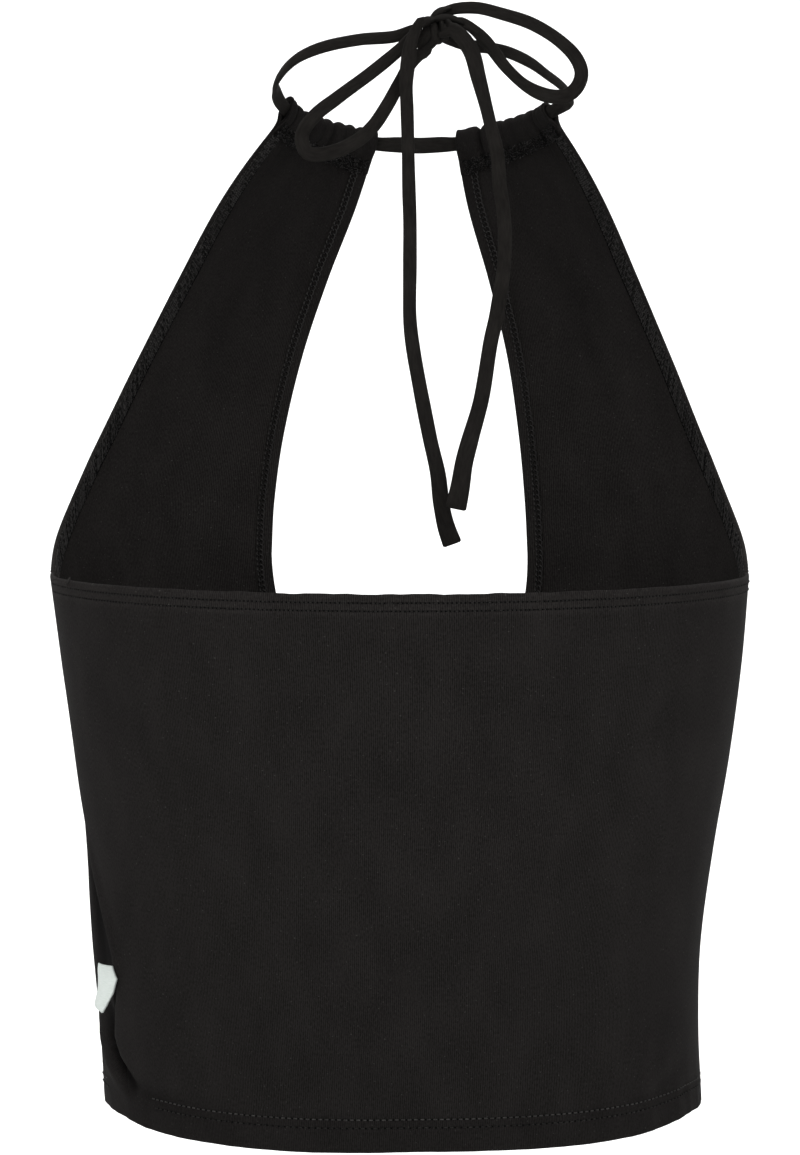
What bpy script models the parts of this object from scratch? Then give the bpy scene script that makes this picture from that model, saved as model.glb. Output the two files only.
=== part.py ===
"""Halter neck top in black jersey, filled out as it is when worn.

Metres, +Z up. The wearer faces +Y and +X is the wearer's right. The origin is the middle of the neck, where
the string holds the top up. The back is one wide band, the front rises in two lobes to gathered casings, and
one flat string runs through both casings, round the neck and into a bow at the nape.

The cloth lies on one form: at each height its cross-section is half an ellipse in front and half behind.
A place on the cloth is (height, angle), with the angle from the right side seam: 90 degrees is the centre
front, 180 the left side and 270 the centre back.
"""

from collections import namedtuple
from math import atan2, cos, degrees, pi, radians, sin, sqrt

import bmesh
import bpy
from mathutils import Vector

# Cloth
WALL = 0.0012
GAP = 0.0003  # between pieces that are sewn together or lie on each other
TURNING = 0.0009  # thickness of a turned hem

# Heights of the edges
HEM_HEIGHT = -0.431
UNDERARM_HEIGHT = -0.203
KEYHOLE_BOTTOM = -0.268
KEYHOLE_ROUND = 0.65  # power that widens the keyhole's lower end from an ellipse

# The torso form, from the hem up to the underarm
Torso = namedtuple("Torso", "height centre half_width front back")
TORSO = (
    Torso(-0.431, -0.0070, 0.1272, 0.0930, 0.0970),
    Torso(-0.395, -0.0089, 0.1276, 0.0925, 0.0955),
    Torso(-0.360, -0.0100, 0.1295, 0.0935, 0.0960),
    Torso(-0.320, -0.0089, 0.1335, 0.0975, 0.0990),
    Torso(-0.280, -0.0078, 0.1390, 0.1040, 0.1040),
    Torso(-0.240, -0.0078, 0.1440, 0.1118, 0.1090),
    Torso(-0.203, -0.0087, 0.1478, 0.1125, 0.1120),
)

# The front above the underarm: its form, how far forward the armhole edge lies, and half the keyhole's width
Lobe = namedtuple("Lobe", "height centre half_width front armhole_forward keyhole_half")
LOBE = (
    Lobe(-0.203, -0.0087, 0.1478, 0.1125, 0.0000, 0.0575),
    Lobe(-0.180, -0.0087, 0.1498, 0.1117, 0.0300, 0.0563),
    Lobe(-0.150, -0.0080, 0.1453, 0.1060, 0.0440, 0.0527),
    Lobe(-0.114, -0.0064, 0.1339, 0.0965, 0.0480, 0.0456),
    Lobe(-0.080, -0.0049, 0.1166, 0.0855, 0.0440, 0.0356),
    Lobe(-0.045, -0.0031, 0.0938, 0.0725, 0.0350, 0.0237),
    Lobe(-0.014, -0.0010, 0.0665, 0.0600, 0.0240, 0.0167),
    Lobe(0.0060, 0.0000, 0.0490, 0.0520, 0.0225, 0.0156),
)

# The left side seam swings to the back as it falls: degrees round from the side
Seam = namedtuple("Seam", "height swing")
LEFT_SEAM = (
    Seam(-0.431, 30),
    Seam(-0.420, 27),
    Seam(-0.410, 22),
    Seam(-0.400, 18.5),
    Seam(-0.390, 20),
    Seam(-0.370, 24),
    Seam(-0.350, 21.7),
    Seam(-0.330, 15.7),
    Seam(-0.310, 7),
    Seam(-0.290, 1),
    Seam(-0.270, 0),
    Seam(-0.203, 0),
)

# Depths of the turned hems
BACK_TOP_HEM = 0.0085
BOTTOM_HEM = 0.0150
ARMHOLE_HEM = 0.0040
KEYHOLE_HEM = 0.0053

# A casing tapers from its inner end, at the keyhole, to its outer end, at the armhole
CasingEnd = namedtuple("CasingEnd", "height half_channel flange")
CASING_INNER = CasingEnd(height=-0.0206, half_channel=0.0060, flange=0.0080)
CASING_OUTER = CasingEnd(height=-0.0080, half_channel=0.0049, flange=0.0045)
CASING_HALF_THICK = 0.0042
CASING_CLEAR = 0.00075  # between the lobe's top edge and the casing's channel
CASING_STATIONS = 15
CASING_GATHERS = 5
GATHER_DEPTH = 0.0005

# The casing's section, in degrees round its channel: the oval runs from first to last, then the flange
CHANNEL_SIDES = 14
CHANNEL_FIRST, CHANNEL_LAST = -106, 215
FLANGE_TURNS = (226, 238, 249)  # where the flange's three corners meet the channel's inside

# String and bow
CORD = 0.0042  # mean of the flat string's width and thickness
CORD_SPACING = 0.0100
BEND_SPACING = 0.0075
KNOT_CENTRE = Vector((0.0045, -0.0605, 0.0225))
KNOT_RADII = Vector((0.0060, 0.0055, 0.0062))
KNOT_GAP = 0.0004
KNOT_STUB = 0.0022  # a string leaves the knot straight for this far

# Ways out of the knot
OUT_NECK_LEFT = (-0.835, 0.540, 0.098)
OUT_NECK_RIGHT = (0.800, 0.500, -0.330)
OUT_LOOP_LEFT_TOP = (-0.943, -0.200, -0.270)
OUT_LOOP_LEFT_END = (-0.330, -0.160, -0.930)
OUT_LOOP_RIGHT_TOP = (0.440, -0.080, 0.890)
OUT_LOOP_RIGHT_END = (0.930, -0.150, 0.330)
OUT_TAIL_LEFT = (-0.500, -0.700, 0.500)
OUT_TAIL_RIGHT = (0.600, -0.790, 0.000)

# Routes of the string, from the knot outwards
NECK_LEFT = (
    (-0.0105, -0.0563, 0.0207),
    (-0.0248, -0.0526, 0.0196),
    (-0.0396, -0.0448, 0.0170),
    (-0.0493, -0.0367, 0.0135),
    (-0.0548, -0.0290, 0.0098),
    (-0.0584, -0.0200, 0.0060),
    (-0.0604, -0.0100, 0.0028),
    (-0.0607, 0.0000, 0.0004),
    (-0.0602, 0.0090, -0.0020),
    (-0.0591, 0.0160, -0.0043),
)
NECK_FRONT = (
    (-0.0085, 0.0600, -0.0211),
    (0.0002, 0.0606, -0.0214),
    (0.0089, 0.0600, -0.0210),
)
NECK_RIGHT = (
    (0.0600, 0.0160, -0.0057),
    (0.0619, 0.0095, -0.0045),
    (0.0631, 0.0010, -0.0025),
    (0.0616, -0.0090, -0.0003),
    (0.0581, -0.0190, 0.0025),
    (0.0527, -0.0290, 0.0059),
    (0.0450, -0.0396, 0.0108),
    (0.0357, -0.0466, 0.0147),
    (0.0283, -0.0510, 0.0162),
    (0.0184, -0.0545, 0.0174),
)
LOOP_LEFT = (
    (-0.0083, -0.0628, 0.0155),
    (-0.0197, -0.0640, 0.0061),
    (-0.0340, -0.0660, -0.0045),
    (-0.0435, -0.0670, -0.0121),
    (-0.0484, -0.0680, -0.0202),
    (-0.0458, -0.0685, -0.0267),
    (-0.0373, -0.0690, -0.0267),
    (-0.0267, -0.0690, -0.0223),
    (-0.0196, -0.0685, -0.0162),
    (-0.0138, -0.0675, -0.0077),
    (-0.0088, -0.0660, 0.0014),
    (-0.0050, -0.0650, 0.0082),
    (-0.0006, -0.0630, 0.0131),
)
LOOP_RIGHT = (
    (0.0085, -0.0612, 0.0302),
    (0.0142, -0.0612, 0.0317),
    (0.0231, -0.0620, 0.0319),
    (0.0324, -0.0630, 0.0296),
    (0.0448, -0.0640, 0.0255),
    (0.0559, -0.0650, 0.0187),
    (0.0628, -0.0660, 0.0116),
    (0.0650, -0.0665, 0.0054),
    (0.0632, -0.0670, -0.0001),
    (0.0591, -0.0670, -0.0035),
    (0.0515, -0.0665, -0.0036),
    (0.0429, -0.0660, 0.0002),
    (0.0345, -0.0650, 0.0078),
    (0.0280, -0.0640, 0.0163),
    (0.0219, -0.0630, 0.0228),
    (0.0154, -0.0625, 0.0265),
)
TAIL_LEFT = (
    (-0.0032, -0.0690, 0.0203),
    (-0.0044, -0.0704, 0.0159),
    (-0.0050, -0.0711, 0.0112),
    (-0.0056, -0.0712, 0.0066),
    (-0.0060, -0.0713, 0.0002),
    (-0.0057, -0.0715, -0.0079),
    (-0.0053, -0.0718, -0.0223),
    (-0.0049, -0.0722, -0.0413),
    (-0.0045, -0.0725, -0.0546),
    (-0.0045, -0.0728, -0.0723),
    (-0.0045, -0.0731, -0.0937),
    (-0.0034, -0.0734, -0.1043),
    (-0.0010, -0.0736, -0.1184),
    (0.0038, -0.0738, -0.1428),
    (0.0069, -0.0740, -0.1566),
    (0.0083, -0.0740, -0.1688),
    (0.0102, -0.0740, -0.1778),
    (0.0127, -0.0740, -0.1849),
)
TAIL_RIGHT = (
    (0.0123, -0.0685, 0.0230),
    (0.0156, -0.0700, 0.0207),
    (0.0203, -0.0710, 0.0139),
    (0.0232, -0.0718, 0.0034),
    (0.0262, -0.0725, -0.0079),
    (0.0285, -0.0730, -0.0175),
    (0.0307, -0.0735, -0.0268),
    (0.0319, -0.0742, -0.0413),
    (0.0331, -0.0748, -0.0485),
    (0.0339, -0.0755, -0.0606),
    (0.0335, -0.0762, -0.0723),
    (0.0319, -0.0770, -0.0840),
    (0.0303, -0.0778, -0.0936),
    (0.0283, -0.0785, -0.1021),
    (0.0243, -0.0800, -0.1263),
    (0.0198, -0.0810, -0.1424),
    (0.0174, -0.0815, -0.1517),
    (0.0158, -0.0820, -0.1616),
    (0.0141, -0.0820, -0.1699),
)

# Side label
LABEL_TOP = -0.3665
LABEL_TALL = 0.0185
LABEL_WIDE = 0.0120
LABEL_THICK = 0.0010
LABEL_RISE = 0.0020  # the free edge sits this much higher than the sewn one
LABEL_LIFT = 0.0030  # and this far off the cloth

# Mesh density
BACK_COLUMNS = 26
HALF_COLUMNS = 10
SKIRT_ROWS = 7
ROUND_ROWS = 6
LOBE_ROWS = 13
UNDERARM_CROWDING = 1.2  # power that crowds the armhole's rows towards the underarm
ROUTE_STEPS = 12  # points on a route's curve between two of its given points
CASING_ROUTE_POINTS = 7
LABEL_COLUMNS, LABEL_ROWS = 4, 3


def clear_scene():
    for obj in list(bpy.data.objects):
        bpy.data.objects.remove(obj, do_unlink=True)


def material(name, colour, roughness):
    made = bpy.data.materials.new(name)
    made.use_nodes = True
    shader = made.node_tree.nodes["Principled BSDF"]
    shader.inputs["Base Color"].default_value = (*colour, 1)
    shader.inputs["Roughness"].default_value = roughness
    shader.inputs["Metallic"].default_value = 0
    return made


def between(low, high, share):
    return low + (high - low) * share


def read_table(rows, column, height):
    """A column's value at a height, on a smooth curve through the table's rows."""
    rows = sorted(rows)
    heights = [row.height for row in rows]
    values = [getattr(row, column) for row in rows]
    height = min(max(height, heights[0]), heights[-1])
    i = 0
    while i < len(rows) - 2 and height > heights[i + 1]:
        i += 1
    span = heights[i + 1] - heights[i]

    def slope(k):
        before, after = max(k - 1, 0), min(k + 1, len(rows) - 1)
        return (values[after] - values[before]) / (heights[after] - heights[before])

    t = (height - heights[i]) / span
    rise = values[i + 1] - values[i]
    start, end = slope(i) * span, slope(i + 1) * span
    return values[i] + t * (start + t * (3 * rise - 2 * start - end + t * (start + end - 2 * rise)))


def form_at(height):
    """(centre, half width, front depth, back depth) of the form."""
    if height > UNDERARM_HEIGHT:
        columns = ("centre", "half_width", "front", "front")
        return [read_table(LOBE, column, height) for column in columns]
    return [read_table(TORSO, column, height) for column in ("centre", "half_width", "front", "back")]


def on_form(height, angle):
    centre, half_width, front, back = form_at(height)
    depth = front if sin(angle) > 0 else back
    return Vector((centre + half_width * cos(angle), depth * sin(angle), height))


def slopes_at(height, angle):
    """The form's slopes with the angle and with the height."""
    step = 1e-4
    round_it = (on_form(height, angle + step) - on_form(height, angle - step)) / (2 * step)
    up_it = (on_form(height + step, angle) - on_form(height - step, angle)) / (2 * step)
    return round_it, up_it


def on_cloth(height, angle, out=0.0):
    """A point on the form, moved out from it."""
    round_it, up_it = slopes_at(height, angle)
    return on_form(height, angle) + round_it.cross(up_it).normalized() * out


def place_of(point):
    """(height, angle) of the place on the form under a point in front of the side seams."""
    centre, half_width, front, back = form_at(point.z)
    depth = front if point.y > 0 else back
    return point.z, atan2(point.y / depth, (point.x - centre) / half_width) % (2 * pi)


def sheet(name, patches, outer, inner, finish):
    """One closed wall from patches of (height, angle) places, between two distances out from the form."""
    places, faces, known = [], [], {}

    def index_of(place):
        key = (round(place[0] * 1e6), round(degrees(place[1]) * 1e4))
        if key not in known:
            known[key] = len(places)
            places.append(place)
        return known[key]

    for patch in patches:
        grid = [[index_of(place) for place in row] for row in patch]
        for low, high in zip(grid, grid[1:]):
            for i in range(len(low) - 1):
                # each cell is cut the same way on every layer, so that the layers keep their gap
                faces.append((low[i], low[i + 1], high[i + 1]))
                faces.append((low[i], high[i + 1], high[i]))
    edges = {}
    for face in faces:
        for k, corner in enumerate(face):
            pair = frozenset((face[k - 1], corner))
            edges[pair] = edges.get(pair, []) + [(face[k - 1], corner)]

    mesh = bmesh.new()
    outside = [mesh.verts.new(on_cloth(*place, outer)) for place in places]
    inside = [mesh.verts.new(on_cloth(*place, inner)) for place in places]
    for face in faces:
        mesh.faces.new([outside[c] for c in face])
        mesh.faces.new([inside[c] for c in reversed(face)])
    for used in edges.values():
        if len(used) == 1:
            a, b = used[0]
            mesh.faces.new([outside[b], outside[a], inside[a], inside[b]])
    return finish_mesh(name, mesh, finish)


def finish_mesh(name, mesh, finish):
    bmesh.ops.recalc_face_normals(mesh, faces=mesh.faces)
    data = bpy.data.meshes.new(name)
    mesh.to_mesh(data)
    mesh.free()
    data.shade_smooth()
    data.set_sharp_from_angle(angle=radians(40))
    data.materials.append(finish)
    made = bpy.data.objects.new(name, data)
    bpy.context.scene.collection.objects.link(made)
    return made


# --- edges of the cut pieces, as places -------------------------------------------------------------


def seam_gap(height):
    """Half a seam's gap, as an angle."""
    return GAP / 2 / form_at(height)[3]


def side_seam(height, side):
    """The angle of a side seam: side is 1 on the right and -1 on the left."""
    if side > 0:
        return 0.0
    return pi + radians(read_table(LEFT_SEAM, "swing", height))


def mirrored(angle, side):
    return angle if side > 0 else pi - angle


def armhole_place(height, side):
    front = read_table(LOBE, "front", height)
    forward = read_table(LOBE, "armhole_forward", height)
    share = forward / front
    return height, mirrored(atan2(share, sqrt(1 - share * share)), side)


def keyhole_place(height, side):
    share = read_table(LOBE, "keyhole_half", height) / read_table(LOBE, "half_width", height)
    return height, mirrored(atan2(sqrt(1 - share * share), share), side)


def keyhole_round_place(turn, side):
    """A place on the keyhole's round lower end: turn is 0 at its bottom and a right angle at its widest."""
    widest = LOBE[0]
    height = UNDERARM_HEIGHT - (UNDERARM_HEIGHT - KEYHOLE_BOTTOM) * cos(turn)
    share = widest.keyhole_half * sin(turn) ** KEYHOLE_ROUND / form_at(height)[1]
    return height, mirrored(atan2(sqrt(1 - share * share), share), side)


def casing_at(share):
    """The casing at a share of its way from the inner to the outer end."""
    return CasingEnd(*(between(a, b, share) for a, b in zip(CASING_INNER, CASING_OUTER)))


def casing_angle(share, height, side):
    inner = keyhole_place(height, side)[1]
    outer = armhole_place(height, side)[1]
    return between(inner, outer, share)


def down_casing(share, side, drop):
    """The place a distance below the casing's middle line, measured on the cloth."""
    middle = casing_at(share).height
    angle = casing_angle(share, middle, side)
    _, up_it = slopes_at(middle, angle)
    height = middle - drop / up_it.length
    return height, casing_angle(share, height, side)


def lobe_top(share, side):
    return down_casing(share, side, casing_at(share).half_channel + CASING_CLEAR)


def flange_bottom(share, side):
    end = casing_at(share)
    return down_casing(share, side, end.half_channel + end.flange + 2 * GAP)


# --- panels -----------------------------------------------------------------------------------------


def line_beside(edge, depth, side):
    """Places a distance into the cloth from an edge that runs up, for the half on one side."""
    points = [on_form(*place) for place in edge]
    line = []
    for i, (place, point) in enumerate(zip(edge, points)):
        along = points[min(i + 1, len(points) - 1)] - points[max(i - 1, 0)]
        round_it, up_it = slopes_at(*place)
        across = round_it.cross(up_it).cross(along).normalized() * side
        line.append(place_of(point + across * depth))
    return line


def top_share(depth, side):
    """A hem's depth as a share of the lobe's top edge."""
    return depth / (on_form(*lobe_top(0, side)) - on_form(*lobe_top(1, side))).length


def armhole(side):
    """The armhole edge from the underarm up to the casing, and the inner line of its hem."""
    high = flange_bottom(1, side)[0] - ARMHOLE_HEM / 2
    shares = [(i / LOBE_ROWS) ** UNDERARM_CROWDING for i in range(LOBE_ROWS + 1)]
    edge = [armhole_place(between(UNDERARM_HEIGHT, high, share), side) for share in shares]
    line = line_beside(edge, ARMHOLE_HEM, -side)
    seam = side_seam(UNDERARM_HEIGHT, side) + side * seam_gap(UNDERARM_HEIGHT)
    edge[0], line[0] = (UNDERARM_HEIGHT, seam), (UNDERARM_HEIGHT - ARMHOLE_HEM, seam)
    edge.append(lobe_top(1, side))
    line.append(lobe_top(1 - top_share(ARMHOLE_HEM, side), side))
    return edge, line


def keyhole(side):
    """Half the keyhole's edge from its bottom up to the casing, and the inner line of its hem."""
    high = flange_bottom(0, side)[0]
    edge = [keyhole_round_place(i / ROUND_ROWS * pi / 2, side) for i in range(ROUND_ROWS)]
    shares = [i / LOBE_ROWS for i in range(LOBE_ROWS + 1)]
    edge += [keyhole_place(between(UNDERARM_HEIGHT, high, share), side) for share in shares]
    line = line_beside(edge, KEYHOLE_HEM, side)
    line[0] = (KEYHOLE_BOTTOM - KEYHOLE_HEM, pi / 2)
    edge.append(lobe_top(0, side))
    line.append(lobe_top(top_share(KEYHOLE_HEM, side), side))
    return edge, line


def front_body(side):
    """The front's half on one side, between its side seam or armhole hem and its middle or keyhole hem."""
    armhole_line, keyhole_line = armhole(side)[1], keyhole(side)[1]
    edge = [(height, side_seam(height, side) + side * seam_gap(height)) for height in seam_heights()]
    hem_top = HEM_HEIGHT + BOTTOM_HEM
    middle = [(HEM_HEIGHT, pi / 2)]
    for i in range(SKIRT_ROWS - 1):
        middle.append((between(hem_top, keyhole_line[0][0], i / (SKIRT_ROWS - 1)), pi / 2))
    patch = []
    for a, b in zip(edge + armhole_line, middle + keyhole_line):
        patch.append([(between(a[0], b[0], share), between(a[1], b[1], share)) for share in column_shares()])
    low, high = top_share(KEYHOLE_HEM, side), 1 - top_share(ARMHOLE_HEM, side)
    patch[-1] = [lobe_top(between(high, low, share), side) for share in column_shares()]
    return patch


def column_shares():
    return [i / HALF_COLUMNS for i in range(HALF_COLUMNS + 1)]


def strip(edge, line):
    """The cells between an edge and the line beside it."""
    return [[a, b] for a, b in zip(edge, line)]


def seam_heights():
    """The heights of the rows that meet at the side seams, up to the back's top hem."""
    low, high = HEM_HEIGHT + BOTTOM_HEM, UNDERARM_HEIGHT - BACK_TOP_HEM
    count = SKIRT_ROWS + ROUND_ROWS - 2
    return [HEM_HEIGHT] + [between(low, high, i / count) for i in range(count + 1)]


def back_patch():
    """The back from the left seam round to the right one."""
    patch = []
    for height in seam_heights() + [UNDERARM_HEIGHT]:
        start = side_seam(height, -1) + seam_gap(height)
        end = 2 * pi - seam_gap(height)
        patch.append([(height, between(start, end, c / BACK_COLUMNS)) for c in range(BACK_COLUMNS + 1)])
    return patch


def back_panel(cloth):
    return sheet("back_panel", [back_patch()], WALL / 2, -WALL / 2, cloth)


def front_panel(cloth):
    patches = []
    for side in (1, -1):
        patches += [front_body(side), strip(*armhole(side)), strip(*keyhole(side))]
    return sheet("front_panel", patches, WALL / 2, -WALL / 2, cloth)


# --- turned hems, each made from its panel's own places, on the inside -----------------------------

HEM_OUTER = -WALL / 2 - GAP
HEM_INNER = HEM_OUTER - TURNING


def hem(name, patches, cloth):
    return sheet(name, patches, HEM_OUTER, HEM_INNER, cloth)


def hems(cloth):
    hem("back_top_hem", [back_patch()[-2:]], cloth)
    hem("bottom_hem_back", [back_patch()[:2]], cloth)
    hem("bottom_hem_front", [front_body(1)[:2], front_body(-1)[:2]], cloth)
    hem("armhole_hem_left", [strip(*armhole(-1))[:-1]], cloth)
    hem("armhole_hem_right", [strip(*armhole(1))[:-1]], cloth)
    hem("keyhole_hem", [strip(*keyhole(1))[:-1], strip(*keyhole(-1))[:-1]], cloth)


# --- casings ----------------------------------------------------------------------------------------


def casing_section(end, swell):
    """Pairs of (out, up) points, on the casing's outside and on its channel: an oval over the string, with
    the flange that is stitched to the lobe hanging from its inner side."""
    half_up, half_out = end.half_channel, CASING_HALF_THICK + swell
    hole_up, hole_out = half_up - WALL, CASING_HALF_THICK - WALL
    outside, turns = [], []
    for i in range(CHANNEL_SIDES):
        turn = radians(between(CHANNEL_FIRST, CHANNEL_LAST, i / (CHANNEL_SIDES - 1)))
        turns.append(turn)
        outside.append((half_out * cos(turn), half_up * sin(turn)))
    foot = half_up + end.flange
    turns += [radians(turn) for turn in FLANGE_TURNS]
    outside += [(HEM_INNER, -half_up - GAP), (HEM_INNER, -foot), (HEM_OUTER, -foot)]
    inside = [(hole_out * cos(turn), hole_up * sin(turn)) for turn in turns]
    return list(zip(outside, inside))


def casing(name, side, cloth):
    mesh = bmesh.new()
    rings = []
    for i in range(CASING_STATIONS):
        share = i / (CASING_STATIONS - 1)
        swell = GATHER_DEPTH * sin(2 * pi * CASING_GATHERS * share)
        ring = []
        for pair in casing_section(casing_at(share), swell):
            ring.append([mesh.verts.new(on_cloth(*down_casing(share, side, -up), out)) for out, up in pair])
        rings.append(ring)
    count = len(rings[0])
    for near, far in zip(rings, rings[1:]):
        for k in range(count):
            for layer in (0, 1):
                mesh.faces.new([near[k - 1][layer], near[k][layer], far[k][layer], far[k - 1][layer]])
    for ring in (rings[0], rings[-1]):
        for k in range(count):
            mesh.faces.new([ring[k - 1][0], ring[k][0], ring[k][1], ring[k - 1][1]])
    return finish_mesh(name, mesh, cloth)


# --- string, bow and label --------------------------------------------------------------------------


def smooth_route(route, spacing):
    """Evenly spaced points on a smooth curve through the route's points."""
    route = [Vector(point) for point in route]
    padded = [route[0] * 2 - route[1], *route, route[-1] * 2 - route[-2]]
    dense = []
    for p0, p1, p2, p3 in zip(padded, padded[1:], padded[2:], padded[3:]):
        d01, d12, d23 = (max((b - a).length, 1e-6) ** 0.5 for a, b in ((p0, p1), (p1, p2), (p2, p3)))
        leave = (p1 - p0) / d01 - (p2 - p0) / (d01 + d12) + (p2 - p1) / d12
        reach = (p2 - p1) / d12 - (p3 - p1) / (d12 + d23) + (p3 - p2) / d23
        leave, reach, rise = leave * d12, reach * d12, p2 - p1
        square, cube = rise * 3 - leave * 2 - reach, leave + reach - rise * 2
        for k in range(ROUTE_STEPS):
            t = k / ROUTE_STEPS
            dense.append(p1 + leave * t + square * t**2 + cube * t**3)
    dense.append(route[-1])
    lengths = [0.0]
    for a, b in zip(dense, dense[1:]):
        lengths.append(lengths[-1] + (b - a).length)
    count = max(2, round(lengths[-1] / spacing))
    points, i = [], 0
    for n in range(count + 1):
        wanted = lengths[-1] * n / count
        while i < len(dense) - 2 and lengths[i + 1] < wanted:
            i += 1
        points.append(dense[i].lerp(dense[i + 1], (wanted - lengths[i]) / (lengths[i + 1] - lengths[i])))
    return points


def from_knot(way_out, further=0.0):
    """A point just off the knot's surface, or further out."""
    way = Vector(way_out).normalized()
    reach = 1 / sqrt(sum((way[k] / KNOT_RADII[k]) ** 2 for k in range(3)))
    return KNOT_CENTRE + way * (reach + KNOT_GAP + further)


def cord(name, way_out, route, way_back, spacing, finish):
    """A string out of the knot and along a route, to a free end or, by way_back, into the knot again."""
    route = [from_knot(way_out, KNOT_STUB), *route]
    if way_back:
        route.append(from_knot(way_back, KNOT_STUB))
    points = [from_knot(way_out), *smooth_route(route, spacing)]
    if way_back:
        points.append(from_knot(way_back))
    data = bpy.data.curves.new(name, "CURVE")
    data.dimensions = "3D"
    data.bevel_depth = CORD / 2
    data.bevel_resolution = 2
    data.use_fill_caps = True
    spline = data.splines.new("POLY")
    spline.points.add(len(points) - 1)
    for slot, point in zip(spline.points, points):
        slot.co = (*point, 1)
    data.materials.append(finish)
    made = bpy.data.objects.new(name, data)
    bpy.context.scene.collection.objects.link(made)
    return made


def string_in_casing(side):
    """The string's way through a casing, from its inner to its outer end."""
    last = CASING_ROUTE_POINTS - 1
    return [on_cloth(*down_casing(i / last, side, 0)) for i in range(CASING_ROUTE_POINTS)]


def strings(finish):
    through_left, through_right = string_in_casing(-1), string_in_casing(1)
    round_neck = (*NECK_LEFT, *reversed(through_left), *NECK_FRONT, *through_right, *NECK_RIGHT)
    cord("drawstring_neck", OUT_NECK_LEFT, round_neck, OUT_NECK_RIGHT, CORD_SPACING, finish)
    cord("bow_loop_left", OUT_LOOP_LEFT_TOP, LOOP_LEFT, OUT_LOOP_LEFT_END, BEND_SPACING, finish)
    cord("bow_loop_right", OUT_LOOP_RIGHT_TOP, LOOP_RIGHT, OUT_LOOP_RIGHT_END, BEND_SPACING, finish)
    cord("tail_left", OUT_TAIL_LEFT, TAIL_LEFT, None, CORD_SPACING, finish)
    cord("tail_right", OUT_TAIL_RIGHT, TAIL_RIGHT, None, CORD_SPACING, finish)


def knot(finish):
    mesh = bmesh.new()
    bmesh.ops.create_icosphere(mesh, subdivisions=2, radius=1)
    for vert in mesh.verts:
        vert.co = KNOT_CENTRE + Vector(vert.co[k] * KNOT_RADII[k] for k in range(3))
    return finish_mesh("bow_knot", mesh, finish)


def side_label(finish):
    """A flag that stands out of the left side seam and leans forward along the cloth."""
    columns, rows = LABEL_COLUMNS, LABEL_ROWS
    mesh = bmesh.new()
    layers = []
    for thickness in (0, LABEL_THICK):
        layer = []
        for r in range(rows + 1):
            for c in range(columns + 1):
                out_of_seam = c / columns
                height = LABEL_TOP - LABEL_TALL * r / rows + LABEL_RISE * out_of_seam
                round_it, _ = slopes_at(height, side_seam(height, -1))
                angle = side_seam(height, -1) - LABEL_WIDE * out_of_seam / round_it.length
                lift = WALL / 2 + GAP + LABEL_LIFT * out_of_seam**1.5 + thickness
                layer.append(mesh.verts.new(on_cloth(height, angle, lift)))
        layers.append(layer)
    wide = columns + 1
    for r in range(rows):
        for c in range(columns):
            corners = (r * wide + c, r * wide + c + 1, (r + 1) * wide + c + 1, (r + 1) * wide + c)
            mesh.faces.new([layers[1][k] for k in corners])
            mesh.faces.new([layers[0][k] for k in reversed(corners)])
    rim = list(range(wide)) + [r * wide + columns for r in range(1, rows + 1)]
    rim += [rows * wide + c for c in range(columns - 1, -1, -1)] + [r * wide for r in range(rows - 1, 0, -1)]
    for a, b in zip(rim, rim[1:] + rim[:1]):
        mesh.faces.new([layers[0][a], layers[0][b], layers[1][b], layers[1][a]])
    return finish_mesh("side_label", mesh, finish)


def main():
    clear_scene()
    jersey = material("black_jersey", (0.014, 0.0135, 0.013), 0.85)
    inside = material("black_jersey_inside", (0.010, 0.010, 0.0105), 0.90)
    tie = material("black_tie", (0.017, 0.016, 0.015), 0.80)
    satin = material("label_satin", (0.78, 0.84, 0.80), 0.55)

    back_panel(jersey)
    front_panel(jersey)
    hems(inside)
    casing("casing_left", -1, inside)
    casing("casing_right", 1, inside)
    strings(tie)
    knot(tie)
    side_label(satin)


main()
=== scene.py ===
"""Halter neck top in black jersey: the detailed cloth, stitching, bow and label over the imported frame.

Metres, +Z up. The wearer faces +Y and +X is the wearer's right; the camera looks at the back.

The cloth lies on one form: at each height its cross-section is half an ellipse in front and half behind.
A place on the cloth is (height, angle), with the angle from the right side seam: 90 degrees is the centre
front, 180 the left side and 270 the centre back. side is 1 on the right and -1 on the left.
"""

from collections import namedtuple
from functools import lru_cache
from math import atan2, copysign, cos, exp, pi, radians, sin, sqrt
from random import Random

import bmesh
import bpy
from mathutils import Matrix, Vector


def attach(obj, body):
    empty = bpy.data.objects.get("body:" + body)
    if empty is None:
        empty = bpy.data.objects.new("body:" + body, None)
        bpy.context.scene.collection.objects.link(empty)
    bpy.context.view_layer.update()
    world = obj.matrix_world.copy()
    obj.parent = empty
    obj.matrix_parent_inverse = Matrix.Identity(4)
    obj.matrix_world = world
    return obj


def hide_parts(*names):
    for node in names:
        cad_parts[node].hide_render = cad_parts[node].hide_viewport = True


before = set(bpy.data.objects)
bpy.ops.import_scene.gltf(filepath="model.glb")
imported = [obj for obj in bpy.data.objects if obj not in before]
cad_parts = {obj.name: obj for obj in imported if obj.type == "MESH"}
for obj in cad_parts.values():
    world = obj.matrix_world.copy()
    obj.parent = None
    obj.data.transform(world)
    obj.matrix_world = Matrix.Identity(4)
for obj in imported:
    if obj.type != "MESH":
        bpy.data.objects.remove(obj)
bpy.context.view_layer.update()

# Camera
CAMERA_PLACE = (-0.0085, -1.79374, -0.05501)
CAMERA_PITCH = 85.22
CAMERA_LENS = 132.1
CAMERA_SENSOR = 36

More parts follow.
